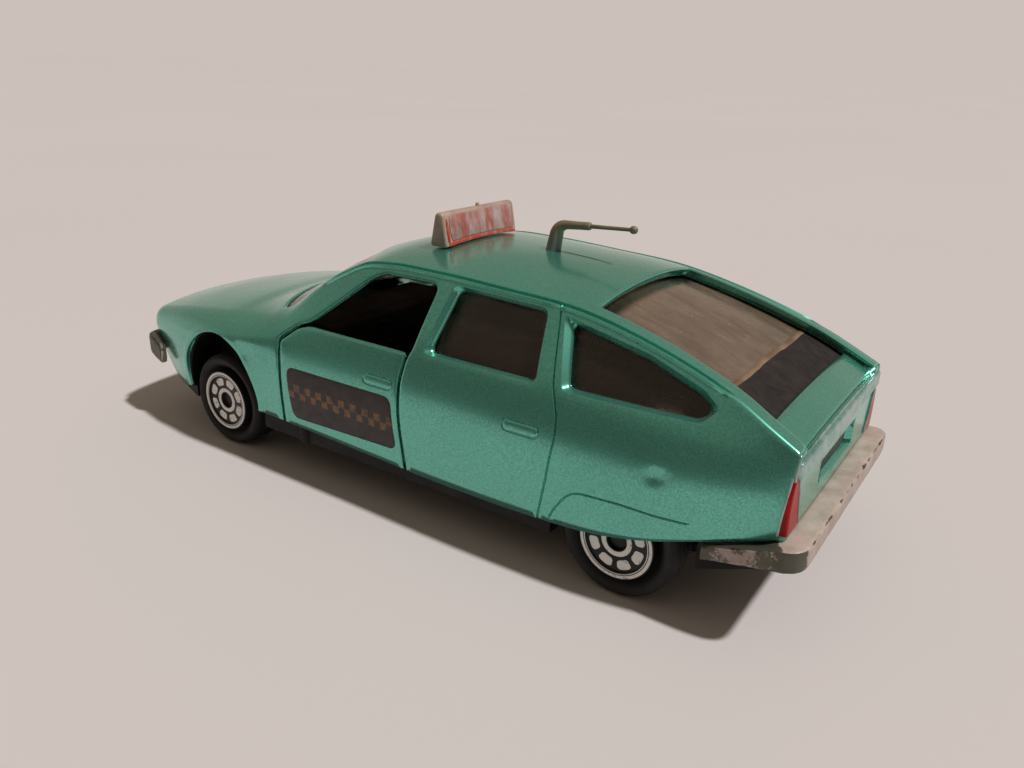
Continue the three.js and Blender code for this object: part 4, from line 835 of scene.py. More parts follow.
def soft_bar(name, sections, material, smooth=50):
    """A lofted bar: each section is a ring of points in millimetres, and the ends are closed."""
    faces = lofted(len(sections), len(sections[0]))
    return outward(make(name, np.concatenate(sections), faces, material, None, smooth))


def round_box(half_a, half_b, radius):
    """A rounded rectangle as points [a, b], anticlockwise."""
    ring, steps = [], 4
    for quarter, (sa, sb) in enumerate(((1, 1), (-1, 1), (-1, -1), (1, -1))):
        for k in range(steps + 1):
            turn = math.pi / 2 * (quarter + k / steps)
            ring.append((
                sa * (half_a - radius) + radius * math.cos(turn),
                sb * (half_b - radius) + radius * math.sin(turn)))
    return np.array(ring)


RIB_X, RIB_Z = TAIL + 0.05, 20.05
rib_sections = []
for y in (-16.75, -16.6, -16.2, 0, 16.2, 16.6, 16.75):
    shrink = 0.35 if abs(y) > 16.7 else 0.12 if abs(y) > 16.5 else 0
    ring = round_box(0.45 - shrink, 0.95 - shrink, 0.09 if shrink else 0.25)
    rib_sections.append(np.stack([RIB_X + ring[:, 0], np.full(len(ring), y), RIB_Z + ring[:, 1]], axis=1))
# Paler teal for the rib and the fine beads: painted sheen (the glint of narrow edges and the pale room
# mirrored in them) over some rubbing, and the rib's print
sheen_and_wear_enamel, tree, shader = plain("sheen_and_wear_enamel", (0.34, 0.5, 0.47), metallic=0.7, roughness=0.3)
rubbed = noise(tree, 420, 5.0, 0.65)
feed(shader, "Base Color", ramp(tree, rubbed, [(0.38, (0.2, 0.42, 0.38)), (0.6, (0.44, 0.56, 0.54))]))
feed(shader, "Roughness", ramp(tree, rubbed, [(0.3, 0.24), (0.7, 0.38)]))
tail_rib = soft_bar("tail_rib", rib_sections, sheen_and_wear_enamel)
dress(tail_rib, "body", "paint")

# A fine bead along the deck's rear edge and a bead down each corner, their pale enamel painted highlight, and
# a
# dark sheet in the plate recess: a blank plate's dark paint with the recess's shade painted in
HANDS = ((1, "left"), (-1, "right"))
BEAD = 0.14
ring_turn = np.linspace(0, 2 * math.pi, 10, endpoint=False)
bead_y = np.linspace(-14.4, 14.4, 40)
bead_z = roof_z(np.full(40, TAIL), np.abs(bead_y)) - DECK_DROP - 0.1
deck_bead = soft_bar("deck_bead", [
    np.stack([TAIL + 0.1 + BEAD * np.cos(ring_turn), np.full(10, y), z + BEAD * np.sin(ring_turn)], 1)
    for y, z in zip(bead_y, bead_z)], sheen_and_wear_enamel)
dress(deck_bead, "body", "paint")


def standing_bead(name, path, material):
    """A fine bead along a steep path of (x, y, z)."""
    rings = [
        np.stack([x + BEAD * np.cos(ring_turn), y + BEAD * np.sin(ring_turn), np.full(10, z)], 1)
        for x, y, z in path]
    return dress(soft_bar(name, rings, material), "body", "paint")


corner_t = np.linspace(2.06, 2.97, 16)
corner_x = np.full(16, TAIL + 0.05)
corner = skin_point(corner_x, corner_t) - 0.1 * skin_normal(corner_x, corner_t)
for side, hand in HANDS:
    standing_bead(hand + "_corner_bead", corner * (1, side, 1), sheen_and_wear_enamel)
# The dark sheet in the recess: partly dark paint, partly painted shade in the recess
plate_black_and_shade, tree, shader = plain("plate_black_and_shade", (0.02, 0.021, 0.02), roughness=0.5)
scuff = noise(tree, 700, 5.0, 0.7, (1, 0.6, 1.6))
feed(shader, "Base Color", ramp(tree, scuff, [(0.4, (0.012, 0.013, 0.012)), (0.66, (0.05, 0.075, 0.068))]))
feed(shader, "Roughness", ramp(tree, scuff, [(0.3, 0.4), (0.7, 0.6)]))
plate_edge = round_box(6.9, 1.32, 0.3)
plate_middle = (0, (PLATE_FOOT + PLATE_TOP) / 2)
plate_sections = [
    at_end(TAIL + PLATE_DEPTH - out, plate_edge * grow + plate_middle)
    for out, grow in ((-0.05, 1), (0.14, 1), (0.2, 0.985))]
dark_plate_and_shade = soft_bar("dark_plate_and_shade", plate_sections, plate_black_and_shade)
dress(dark_plate_and_shade, "body", "black_plastic")


# The front doors: two small castings in the same teal, each hung on a steel pin behind the front wing. A door
# is only the lower half; its window is a gap under the pillar. The handle is cast in.
door_front = wing_edge(DOOR_SWING, np.linspace(8.0, 19.6, 12))
door_outline = anticlockwise(rounded([
    (15.1, 21.8), (13.1, 22.4), (-4.0, 22.4), (-3.75, 21.3), (-3.45, 18.8), (-3.65, 15), (-4.25, 4),
    (door_front[0, 0], 4), *map(tuple, door_front)], 0.7))
door_rows, door_clear = handle_rows(-0.15, 18.0)
for distance, drop, worn in LIP:
    door_rows += side_row(shifted(door_outline, -distance, True), True, -drop, worn)


def off_door(x, t):
    _, z = side_point(x, np.minimum(t, 3))
    return ~within(np.stack([x, z], 1), door_outline)


door_skin = sheet(
    np.arange(-5.2, 19.5, 0.7), np.linspace(0, 2.3, 26), door_rows, off_door, clear=[door_clear])


def handed(points, faces, side):
    """A mesh of the left side as it is (1), or mirrored for the right side (-1)."""
    return points * (1, side, 1), faces if side > 0 else faces[:, ::-1]


def turned(profile, sides):
    """A turned form about the z axis from (radius, height) points, closed at both ends."""
    points, faces, count = [], [], len(profile)
    for k in range(sides):
        turn = 2 * math.pi * k / sides
        points += [(r * math.cos(turn), r * math.sin(turn), h) for r, h in profile]
    for k in range(sides):
        a, b = k * count, (k + 1) % sides * count
        faces += [(a + i, b + i, b + i + 1, a + i + 1) for i in range(count - 1)]
    faces.append(tuple(k * count for k in range(sides))[::-1])
    faces.append(tuple(k * count + count - 1 for k in range(sides)))
    return np.array(points), faces


KNUCKLE = ((0.75, 9.6), (1.25, 9.7), (1.35, 9.9), (1.35, 18.6), (1.25, 18.8), (0.75, 18.9))  # radius, height
knuckle_points, knuckle_faces = turned(KNUCKLE, 40)
for side, hand in HANDS:
    body = hand + "_door"
    points, faces = handed(*door_skin[:2], side)
    panel = thicken(make(body + "_panel", points, faces, enamel, door_skin[2], 28), WALL)
    dress(panel, body, "paint", hand + "_front_door")
    knuckle = make(body + "_knuckle", knuckle_points + (PIN_X, side * PIN_Y, 0), knuckle_faces, enamel)
    dress(knuckle, body, "paint")


# The door stickers: black film with a printed band of gold chequers, stuck on both front doors. The film is
# dusty and the gold is rubbed thin.
SQUARE = 0.00105  # metres, as the shader counts
BAND_MIDDLE, BAND_SLOPE = 0.0128, math.radians(1.2)
FILM = 0.05
sticker_film, tree, shader = plain("sticker_film", (0.026, 0.02, 0.017), roughness=0.42)
where = tree.nodes.new("ShaderNodeTexCoord")
mapping = tree.nodes.new("ShaderNodeMapping")
mapping.inputs["Rotation"].default_value = (0, BAND_SLOPE, 0)
mapping.inputs["Location"].default_value = (0, 0, -BAND_MIDDLE)
tree.links.new(where.outputs["Object"], mapping.inputs["Vector"])
axes = tree.nodes.new("ShaderNodeSeparateXYZ")
tree.links.new(mapping.outputs["Vector"], axes.inputs["Vector"])


def stripe(value):
    """0 and 1 by turns, a square's width each."""
    wave = maths(tree, "PINGPONG", value, SQUARE)
    return maths(tree, "GREATER_THAN", wave, SQUARE / 2)


across = stripe(axes.outputs["X"])
upward = stripe(maths(tree, "ADD", axes.outputs["Z"], SQUARE / 2))
chequer = maths(tree, "ABSOLUTE", maths(tree, "SUBTRACT", across, upward))
in_band = maths(tree, "LESS_THAN", maths(tree, "ABSOLUTE", axes.outputs["Z"]), SQUARE)
rubbed = ramp(tree, noise(tree, 900, 4.0, 0.65), [(0.36, 0.15), (0.56, 1.0)])
gilt = maths(tree, "MULTIPLY", maths(tree, "MULTIPLY", chequer, in_band), rubbed)
dusty = ramp(tree, noise(tree, 500, 5.0, 0.7), [(0.4, (0.022, 0.017, 0.014)), (0.75, (0.042, 0.034, 0.03))])
feed(shader, "Base Color", mixed(tree, gilt, dusty, (0.25, 0.115, 0.03)))
feed(shader, "Roughness", ramp(tree, noise(tree, 700, 4.0, 0.6), [(0.3, 0.34), (0.7, 0.58)]))
bump(tree, shader, noise(tree, 2200, 3.0), 0.00002, 0.3)

sticker_outline = anticlockwise(rounded([(16.3, 16.4), (-2.6, 16.5), (-3.2, 9.4), (15.9, 8.9)], 1.3))


def off_sticker(x, t):
    _, z = side_point(x, np.minimum(t, 3))
    return ~within(np.stack([x, z], 1), sticker_outline)


STUCK = 0.02
sticker_rows = side_row(sticker_outline, True, 0, 0)
sticker_rows += side_row(shifted(sticker_outline, -0.3, True), True, STUCK, 0)
sticker = sheet(np.arange(-4, 17.5, 0.7), np.linspace(0, 2, 22), sticker_rows, off_sticker, STUCK)
for side, hand in HANDS:
    body = hand + "_door"
    film = thicken(make(body + "_sticker", *handed(*sticker[:2], side), sticker_film), FILM)
    dress(film, body, "black_plastic")


# The glazing: one clear moulding with a smoky tint that fills the windscreen, the rear window and the fixed
# side panes from inside. It is hazy with fine scratches, and a band of black paint runs along the foot of the
# rear window. The rear window is made hazier and paler than the side panes: painted light from the lamp
# above.
smoky_pane, tree, shader = plain(
    "smoky_pane", (0.5, 0.4, 0.33), roughness=0.12, ior=1.47, transmission_weight=0.9)
scratches = noise(tree, 500, 6.0, 0.75, (0.12, 1.6, 1))
haze = noise(tree, 160, 5.0, 0.6)
rear_window_lit = carried(tree, "worn")
feed(shader, "Roughness", ramp(tree, scratches, [(0.4, 0.06), (0.7, 0.3)]))
feed(shader, "Base Color", ramp(tree, haze, [(0.35, (0.29, 0.215, 0.16)), (0.65, (0.39, 0.295, 0.228))]))
side_clear = ramp(tree, haze, [(0.3, 0.955), (0.7, 0.99)])
# Less clear on the rear window so its pale haze shows: painted light falling on that pane from above
rear_clear = ramp(tree, scratches, [(0.3, 0.74), (0.7, 0.5)])
feed(shader, "Transmission Weight", mixed(tree, rear_window_lit, side_clear, rear_clear))
bump(tree, shader, scratches, 0.00002, 0.4)
GLASS_DROP, GLASS = 1.5, 0.8
GLASS_FOOT = 22.25
SCREEN_LAP, SCREEN_DROP, SCREEN = 0.3, 0.35, 1.3


def off_glass(x, t):
    _, z = side_point(x, np.minimum(t, 3))
    return (t < 3) & (z < GLASS_FOOT)


glass_x = np.concatenate([[-48.0], np.arange(-47.6, -6.5, 0.9)])
glass_t = np.concatenate([np.linspace(2.0, 3, 14), np.linspace(3, 4, 18)[1:]])
pane = with_mirror(*sheet(glass_x, glass_t, [], off_glass, -GLASS_DROP))
rear_window = (pane[0][:, 0] < -27.5) & (np.abs(pane[0][:, 1]) < 12.8)
window_moulding = thicken(make("window_moulding", pane[0], pane[1], smoky_pane, rear_window), GLASS)
dress(window_moulding, "body", "clear_plastic", "window_glazing")


def off_screen(x, t):
    return (t < 3) | ~within(np.stack([x, edge_y(x) * (4 - t)], 1), shifted(screen_loop, SCREEN_LAP, True))


screen_edge = [top_row(screen_half(SCREEN_LAP), 0, 0)]
screen = with_mirror(*sheet(
    np.arange(5.5, 29.5, 0.8), np.linspace(3, 4, 18), screen_edge, off_screen, -SCREEN_DROP))
windscreen_pane = thicken(make("windscreen_pane", screen[0], screen[1], smoky_pane, screen[2]), SCREEN)
dress(windscreen_pane, "body", "clear_plastic")


def ragged(tree, value, scale, detail, roughness, reach):
    """A value whose edge wanders with noise."""
    wander = maths(tree, "SUBTRACT", noise(tree, scale, detail, roughness), 0.5)
    return maths(tree, "ADD", value, maths(tree, "MULTIPLY", wander, reach))


# The black band, and a brown line along its upper edge that is a painted reflection in the pane
BAND_X, REFLECTED_RIM = -43.5, 0.65
band_paint, tree, shader = plain("band_paint", (0.026, 0.022, 0.021), roughness=0.8, specular_ior_level=0.15)
band_black = ramp(
    tree, noise(tree, 700, 4.0, 0.6), [(0.35, (0.02, 0.017, 0.016)), (0.7, (0.036, 0.03, 0.028))])
reflected_rim = carried(tree, "worn")
reflection_share = ramp(tree, ragged(tree, reflected_rim, 900, 4.0, 0.55, 0.3), [(0.12, 0.0), (0.24, 1.0)])
# The brown line: a painted reflection in the rear pane
reflection_brown = ramp(tree, noise(tree, 250, 4.0), [(0.4, (0.17, 0.11, 0.07)), (0.62, (0.27, 0.185, 0.12))])
feed(shader, "Base Color", mixed(tree, reflection_share, band_black, reflection_brown))
feed(shader, "Roughness", ramp(tree, noise(tree, 300, 4.0), [(0.3, 0.7), (0.7, 0.9)]))
bump(tree, shader, noise(tree, 1800, 3.0), 0.00002, 0.35)


def band_top(y):
    """The brushed upper edge of the band."""
    brushed = 0.04 * np.sin(y * 0.7 + 0.6) + 0.015 * np.sin(y * 2.1 + 1.9)
    return BAND_X + brushed + 0.3 * np.clip((y - 9) / 4, 0, 1)


band_y = np.linspace(0, 14.0, 160)
band_edge = [
    top_row(np.stack([band_top(band_y) + step, band_y], 1), 0, reflected)
    for step, reflected in ((0, 0), (0.12, 0.5), (REFLECTED_RIM, 1))]


def off_band(x, t):
    y = edge_y(x) * (4 - t)
    return (x > band_top(y) + REFLECTED_RIM) | (y > edge_y(x) - RAIL + 0.9)


band = with_mirror(*sheet(
    np.linspace(-48.05, -43.75, 8), np.linspace(3.06, 4, 24), band_edge, off_band, 0.06 - GLASS_DROP))
black_band = thicken(make("black_band", band[0], band[1], band_paint, band[2]), FILM)
dress(black_band, "body", "black_plastic")


# The cabin: one dark brown moulding with seats and dashboard, set on the base, and a separate steering wheel.
# Their plain shapes stay as they are; the edges are softened and the plastic has a dull grain.
def soften(node, width, segments=2):
    piece = bpy.data.objects[node]
    soft = piece.modifiers.new("soft_edge", "BEVEL")
    soft.width = width * MM
    soft.segments = segments
    soft.limit_method = "ANGLE"
    soft.angle_limit = math.radians(35)


def finish(node, material):
    piece = bpy.data.objects[node]
    for spot in piece.material_slots:
        spot.link = "OBJECT"
        spot.material = material


def grained(name, dark, light, roughness, shine=0.5, grain=1500):
    """Moulded plastic: two close tones, a fine grain and a roughness that wanders."""
    material, tree, shader = plain(name, dark, roughness=roughness, specular_ior_level=shine)
    blotch = noise(tree, 350, 4.0, 0.6)
    feed(shader, "Base Color", ramp(tree, blotch, [(0.35, dark), (0.68, light)]))
    dull = ramp(tree, noise(tree, 220, 3.0), [(0.3, roughness - 0.08), (0.7, roughness + 0.1)])
    feed(shader, "Roughness", dull)
    bump(tree, shader, noise(tree, grain, 3.0), 0.00003, 0.4)
    return material


# Near black rather than dark brown: the shade inside the cabin is painted into the plastic's tones
cabin_plastic = grained("cabin_plastic", (0.003, 0.0026, 0.0024), (0.006, 0.0048, 0.0042), 0.75, 0.12)
for node, edge in (("interior_tub", 0.2), ("steering_wheel", 0.12)):
    finish(node, cabin_plastic)
    soften(node, edge)


# The base plate: a black plastic moulding that closes the shell from below, held by two rivets. Dark sheets
# of the same plastic curve over the front wheels: painted shade in the arch hollows. The rivets, the axles
# and the door pins are bright steel.
base_plastic = grained("base_plastic", (0.004, 0.0037, 0.0036), (0.008, 0.0072, 0.0068), 0.55, 0.3)
finish("base_plate", base_plastic)
soften("base_plate", 0.15)
# Dark sheets over the front wheels inside the arches: painted shade in the hollows behind the arches
SHADE_SHEET, SHADE_SHEET_WALL, SHADE_SHEET_STEPS = ARCH + 0.15, 0.3, 60
shade_sheet_turn = np.radians(np.linspace(-14, 194, SHADE_SHEET_STEPS))
shade_sheet_x, shade_sheet_z = FRONT_AXLE + SHADE_SHEET * np.cos(shade_sheet_turn), ARCH_Z + SHADE_SHEET * np.sin(shade_sheet_turn)
shade_sheet_faces = [
    (i, i + 1, i + SHADE_SHEET_STEPS + 1, i + SHADE_SHEET_STEPS)
    for k in range(3) for i in range(k * SHADE_SHEET_STEPS, k * SHADE_SHEET_STEPS + SHADE_SHEET_STEPS - 1)]
for side, hand in HANDS:
    rims = [
        np.stack([shade_sheet_x, np.full(SHADE_SHEET_STEPS, side * y), shade_sheet_z], 1) for y in (12.7, 13.0, 18.0, 18.35)]
    shade_sheet = make(hand + "_arch_shade_sheet", np.concatenate(rims), shade_sheet_faces, base_plastic)
    thicken(shade_sheet, SHADE_SHEET_WALL * side)
    dress(shade_sheet, "body", "black_plastic")
bright_steel, tree, shader = plain("bright_steel", (0.6, 0.58, 0.55), metallic=1.0, roughness=0.3)
drawn = noise(tree, 900, 4.0, 0.6, (1, 0.15, 1))
feed(shader, "Base Color", ramp(tree, drawn, [(0.35, (0.5, 0.48, 0.45)), (0.65, (0.66, 0.64, 0.6))]))
feed(shader, "Roughness", ramp(tree, drawn, [(0.3, 0.22), (0.7, 0.42)]))
for node in ("front_rivet", "rear_rivet", "front_axle", "rear_axle", "left_hinge_pin", "right_hinge_pin"):
    finish(node, bright_steel)
    soften(node, 0.08)


# The bumpers: cream plastic mouldings that once were plated all over. The plating is rubbed away from the
# flats and left as a dark grey skin along the edges and on the tops of the wings.
worn_bumper, tree, shader = plain("worn_bumper", (0.43, 0.33, 0.2), roughness=0.5)
cream = ramp(tree, noise(tree, 420, 5.0, 0.65), [(0.32, (0.35, 0.275, 0.235)), (0.68, (0.5, 0.405, 0.36))])
edge_wear = carried(tree, "worn")
plated = carried(tree, "plated")
rough_edge = ragged(tree, edge_wear, 520, 6.0, 0.62, 1.7)
dark_edge = ramp(tree, rough_edge, [(0.84, 0.0), (1.0, 1.0)])
skin_left = ramp(tree, ragged(tree, plated, 700, 5.0, 0.7, 1.2), [(0.52, 0.0), (0.62, 1.0)])
scored = ramp(tree, noise(tree, 800, 4.0, 0.7, (4, 0.4, 1)), [(0.66, 0.0), (0.72, 0.75)])
with_skin = mixed(tree, skin_left, cream, (0.11, 0.11, 0.088))
with_score = mixed(tree, scored, with_skin, (0.09, 0.06, 0.04))
feed(shader, "Base Color", mixed(tree, dark_edge, with_score, (0.03, 0.028, 0.022)))
feed(shader, "Metallic", ramp(tree, skin_left, [(0, 0.0), (1, 0.55)]))
feed(shader, "Roughness", ramp(tree, noise(tree, 500, 4.0), [(0.3, 0.38), (0.7, 0.6)]))
bump(tree, shader, rough_edge, 0.00004, 0.5)

BUMPER_EDGE = 0.34
# The four faces of the bar, each from corner to corner in shares of (depth, height)
BUMPER_FACES = (((0, 1), (1, 1)), ((1, 1), (1, 0)), ((1, 0), (0, 0)), ((0, 0), (0, 1)))
BUMPER_RING = 32


def bumper(name, line):
    """A bar between two plan lines, drawn for the left side and mirrored. Each place on it is (outer x, y,
    inner x, y, top, height, top plated, face plated)."""
    half = evenly(np.array(line, float), 0.4)
    full = np.concatenate([half, (half * (1, -1, 1, -1, 1, 1, 1, 1))[::-1][1:]])
    points, worn, plating = [], [], []
    for x, y, inner_x, inner_y, top, height, top_plated, face_plated in full:
        depth = math.hypot(inner_x - x, inner_y - y)
        nx, ny = (inner_x - x) / depth, (inner_y - y) / depth
        for (a, b), (c, d) in BUMPER_FACES:
            inset = BUMPER_EDGE / (depth if a != c else height)
            rim = ((inset * 0.3, 0.9), (inset, 0.62), (inset + 0.1, 0.15), (0.35, 0))
            for share, edge in rim + tuple((1 - share, edge) for share, edge in rim[::-1]):
                u, v = a + (c - a) * share, b + (d - b) * share
                inward, rise = u * depth, (v - 1) * height
                near_side, near_top = min(inward, depth - inward), min(-rise, height + rise)
                if near_side < BUMPER_EDGE and near_top < BUMPER_EDGE:
                    pull = BUMPER_EDGE * 0.22
                    inward += pull * (1 if inward < depth / 2 else -1) * (1 - near_side / BUMPER_EDGE)
                    rise += pull * (-1 if -rise < height / 2 else 1) * (1 - near_top / BUMPER_EDGE)
                points.append((x + nx * inward, y + ny * inward, top + rise))
                worn.append(edge if u < 0.5 else 0)
                plating.append(top_plated if b == d == 1 else face_plated if a == c == 0 else 0)
    piece = make(name, points, lofted(len(full), BUMPER_RING), worn_bumper, worn, 60)
    values = piece.data.attributes.new("plated", "FLOAT", "POINT").data
    values.foreach_set("value", np.array(plating, float))
    return outward(piece)


rear_line = [
    (-43.9, 19.3, -43.9, 18.2, 10.35, 1.7, 1, 0.7), (-44.6, 19.32, -44.6, 18.2, 10.55, 1.75, 1, 0.6),
    (-46.5, 19.35, -46.5, 18.1, 11.1, 1.9, 1, 0.5), (-49.5, 19.3, -49.5, 17.6, 11.95, 2.2, 1, 0.54),
    (-51.2, 19.22, -50.6, 17.0, 12.45, 2.45, 0.9, 0.6), (-52.2, 19.1, -50.8, 16.9, 12.55, 2.5, 0.4, 1),
    (-53.2, 18.6, -50.9, 16.5, 12.65, 2.5, 0.1, 1), (-53.75, 17.8, -50.9, 16.2, 12.65, 2.5, 0, 0.9),
    (-53.97, 16.8, -50.9, 15.8, 12.65, 2.5, 0, 0.3), (-54, 15.4, -50.9, 15.1, 12.65, 2.5, 0, 0.1),
    (-54, 0, -50.9, 0, 12.65, 2.5, 0, 0.1)]
dress(bumper("rear_bumper_bar", rear_line), "body", "worn_plating", "rear_bumper")
wing_y = wide_y(np.array([47.5, 49.2, 50.6])) + 1.5
front_line = [
    (47.5, wing_y[0], 47.5, wing_y[0] - 1.2, 12.5, 3.0, 0.7, 0.8),
    (49.2, wing_y[1], 49.2, wing_y[1] - 1.2, 13.0, 3.3, 0.8, 0.8),
    (50.6, wing_y[2], 50.3, wing_y[2] - 1.2, 13.4, 3.4, 0.8, 0.8),
    (51.6, 17.9, 50.8, 17.0, 13.5, 3.4, 0.6, 0.8), (52.3, 17.0, 51.3, 16.4, 13.5, 3.3, 0.4, 0.6),
    (52.8, 15, 51.6, 14.8, 13.5, 3.2, 0.3, 0.3), (53.15, 13, 51.95, 12.9, 13.5, 3.2, 0.3, 0.3),
    (53.75, 7, 52.55, 6.95, 13.5, 3.2, 0.3, 0.3), (54, 0, 52.8, 0, 13.5, 3.2, 0.3, 0.3)]
dress(bumper("front_bumper_bar", front_line), "body", "worn_plating", "front_bumper")


# Lamps and grille: small clear and red mouldings pushed into pockets of the casting, and a black slatted
# grille. The tail lamps wrap the corners of the tail between two cast beads; the beads' pale enamel is
# painted highlight.
def fluted(material, blotch, dark, light, axis, pitch, depth, strength):
    """Lens plastic in two close tones with fine flutes across an axis."""
    lens, tree, shader = material
    flutes = tree.nodes.new("ShaderNodeTexWave")
    flutes.inputs["Scale"].default_value = pitch
    flutes.bands_direction = axis
    tree.links.new(tree.nodes.new("ShaderNodeTexCoord").outputs["Object"], flutes.inputs["Vector"])
    feed(shader, "Base Color", ramp(tree, noise(tree, blotch, 4.0), [(0.35, dark), (0.68, light)]))
    bump(tree, shader, flutes.outputs["Fac"], depth, strength)
    return lens


lamp_red = fluted(
    plain("lamp_red", (0.55, 0.008, 0.01), roughness=0.3, specular_ior_level=0.2),
    500, (0.27, 0.005, 0.007), (0.4, 0.008, 0.01), "Z", 150, 0.00003, 0.2)
lamp_clear = fluted(
    plain("lamp_clear", (0.8, 0.78, 0.74), roughness=0.15, ior=1.49, transmission_weight=0.5),
    400, (0.7, 0.67, 0.62), (0.85, 0.83, 0.8), "Y", 380, 0.00006, 0.5)
for node, material in (
        ("left_headlamp", lamp_clear), ("right_headlamp", lamp_clear), ("front_grille", base_plastic)):
    finish(node, material)
    soften(node, 0.12, 3)
LAMP_FOOT, LAMP_TOP = 13.3, 19.5
LAMP_PROUD, LAMP_DEPTH = 0.08, 0.7
lamp_sections = []
for share in np.linspace(0, 1, 12):
    z = LAMP_FOOT + share * (LAMP_TOP - LAMP_FOOT)
    side_x = TAIL + TAIL_ROUND + np.linspace(0.5, 0, 4) * (1 - share)
    side_y = skin_point(side_x, t_of_side(side_x, np.full(4, z)))[:, 1]
    turn = np.linspace(math.radians(65) * share, math.pi / 2, 7)
    round_x = TAIL + TAIL_ROUND - (TAIL_ROUND + LAMP_PROUD) * np.sin(turn)
    round_y = side_y[-1] - TAIL_ROUND + (TAIL_ROUND + LAMP_PROUD) * np.cos(turn)
    inner_y = 13.9 + 2.3 * share
    across = np.linspace(side_y[-1] - TAIL_ROUND - 0.1, inner_y, 4)
    outer = np.concatenate([
        np.stack([side_x[:-1], side_y[:-1] + LAMP_PROUD * (1 - share)], 1), np.stack([round_x, round_y], 1),
        np.stack([np.full(4, TAIL - LAMP_PROUD), across], 1),
        [(TAIL + LAMP_DEPTH, inner_y), (TAIL + LAMP_DEPTH, side_y[0] - 0.9), (side_x[0], side_y[0] - 0.9)]])
    lamp_sections.append(np.concatenate([outer, np.full((len(outer), 1), z)], axis=1))
outer_bead = np.array([ring[0] for ring in lamp_sections])
inner_bead = np.array([ring[-4] for ring in lamp_sections])
for side, hand in HANDS:
    # Beads in pale enamel: painted highlight along the lamp's edges
    standing_bead(hand + "_lamp_outer_bead", outer_bead * (1, side, 1), sheen_and_wear_enamel)
    standing_bead(hand + "_lamp_inner_bead", inner_bead * (1, side, 1), sheen_and_wear_enamel)
    rings = [ring * (1, side, 1) for ring in lamp_sections]
    wedge = soft_bar(hand + "_tail_lamp_wedge", rings, lamp_red, 35)
    dress(wedge, "body", "red_plastic", hand + "_tail_lamp")


# The roof sign: a hollow cream plastic wedge on two pegs. Each face has a raised silvered panel whose red
# print is rubbed to smears, and red lines along the lower edge and the left end.
SIGN_X, SIGN_TOP, SIGN_LIFT = -0.438, 37.6, 0.25
SIGN_FOOT_HALF, SIGN_RIDGE_HALF = 1.45, 0.55
sign_cream = grained("sign_cream", (0.34, 0.24, 0.19), (0.46, 0.34, 0.28), 0.45)
sign_sections = []
for y in (-8.0, -7.9, -7.6, -4, 0, 4, 7.6, 7.9, 8.0):
    inset = 0.3 if abs(y) > 7.95 else 0.09 if abs(y) > 7.8 else 0
    foot = float(roof_z(np.array([SIGN_X]), np.array([y]))[0]) + SIGN_LIFT + inset * 0.5
    low, high, top = SIGN_FOOT_HALF - inset, SIGN_RIDGE_HALF - inset * 0.4, SIGN_TOP - inset
    ring = rounded([(-low, foot), (low, foot), (high, top), (-high, top)], 0.4, 0.25)
    if sign_sections and len(ring) != len(sign_sections[0]):
        at = np.linspace(0, 1, len(sign_sections[0]) + 1)[:-1]
        own = np.linspace(0, 1, len(ring) + 1)
        closed = np.concatenate([ring, ring[:1]])
        ring = np.stack([np.interp(at, own, closed[:, k]) for k in (0, 1)], axis=1)
    sign_sections.append(np.stack([SIGN_X + ring[:, 0], np.full(len(ring), y), ring[:, 1]], axis=1))
sign_wedge = soft_bar("sign_wedge", sign_sections, sign_cream)
dress(sign_wedge, "body", "cream_plastic", "roof_sign")

sign_silver, tree, shader = plain("sign_silver", (0.5, 0.44, 0.44), metallic=0.25, roughness=0.42)
silver = ramp(tree, noise(tree, 600, 4.0, 0.6), [(0.35, (0.42, 0.36, 0.36)), (0.68, (0.58, 0.52, 0.52))])
smear = ramp(tree, noise(tree, 420, 5.0, 0.7, (1, 1.3, 0.45)), [(0.36, 0.0), (0.6, 0.85)])
feed(shader, "Base Color", mixed(tree, smear, silver, (0.42, 0.07, 0.045)))
feed(shader, "Roughness", ramp(tree, noise(tree, 300, 3.0), [(0.3, 0.34), (0.7, 0.55)]))
bump(tree, shader, noise(tree, 1300, 3.0), 0.00002, 0.4)
sign_red, tree, shader = plain("sign_red", (0.5, 0.05, 0.03), roughness=0.45)
rubbed = ramp(tree, noise(tree, 900, 5.0, 0.7), [(0.5, 0.0), (0.6, 1.0)])
feed(shader, "Base Color", mixed(tree, rubbed, (0.5, 0.045, 0.025), (0.3, 0.2, 0.15)))
feed(shader, "Roughness", ramp(tree, noise(tree, 600, 3.0), [(0.3, 0.36), (0.7, 0.55)]))


def on_sign(points, face, lift):
    """Points [y, share of the height] on a sloping face of the sign: -1 is the rear face, 1 the front."""
    foot = roof_z(np.full(len(points), SIGN_X), points[:, 0]) + SIGN_LIFT
    z = foot + points[:, 1] * (SIGN_TOP - foot)
    x = SIGN_X + face * (SIGN_FOOT_HALF - (SIGN_FOOT_HALF - SIGN_RIDGE_HALF) * points[:, 1] + lift)
    return np.stack([x, points[:, 0], z + lift * 0.3], axis=1)


PLATE_SUNK = 0.3


def sign_plate(name, outline, face, lift, material):
    """A thin raised plate on a face of the sign, open where it is sunk into the wedge."""
    ring = anticlockwise(rounded(outline, 0.35, 0.25))
    inner = on_sign(shifted(ring, -0.02, True), face, lift + 0.03)
    points = np.concatenate([on_sign(ring, face, -PLATE_SUNK), on_sign(ring, face, lift), inner])
    faces = lofted(3, len(ring))
    del faces[-2]
    return outward(make(name, points, faces, material, None, 50))


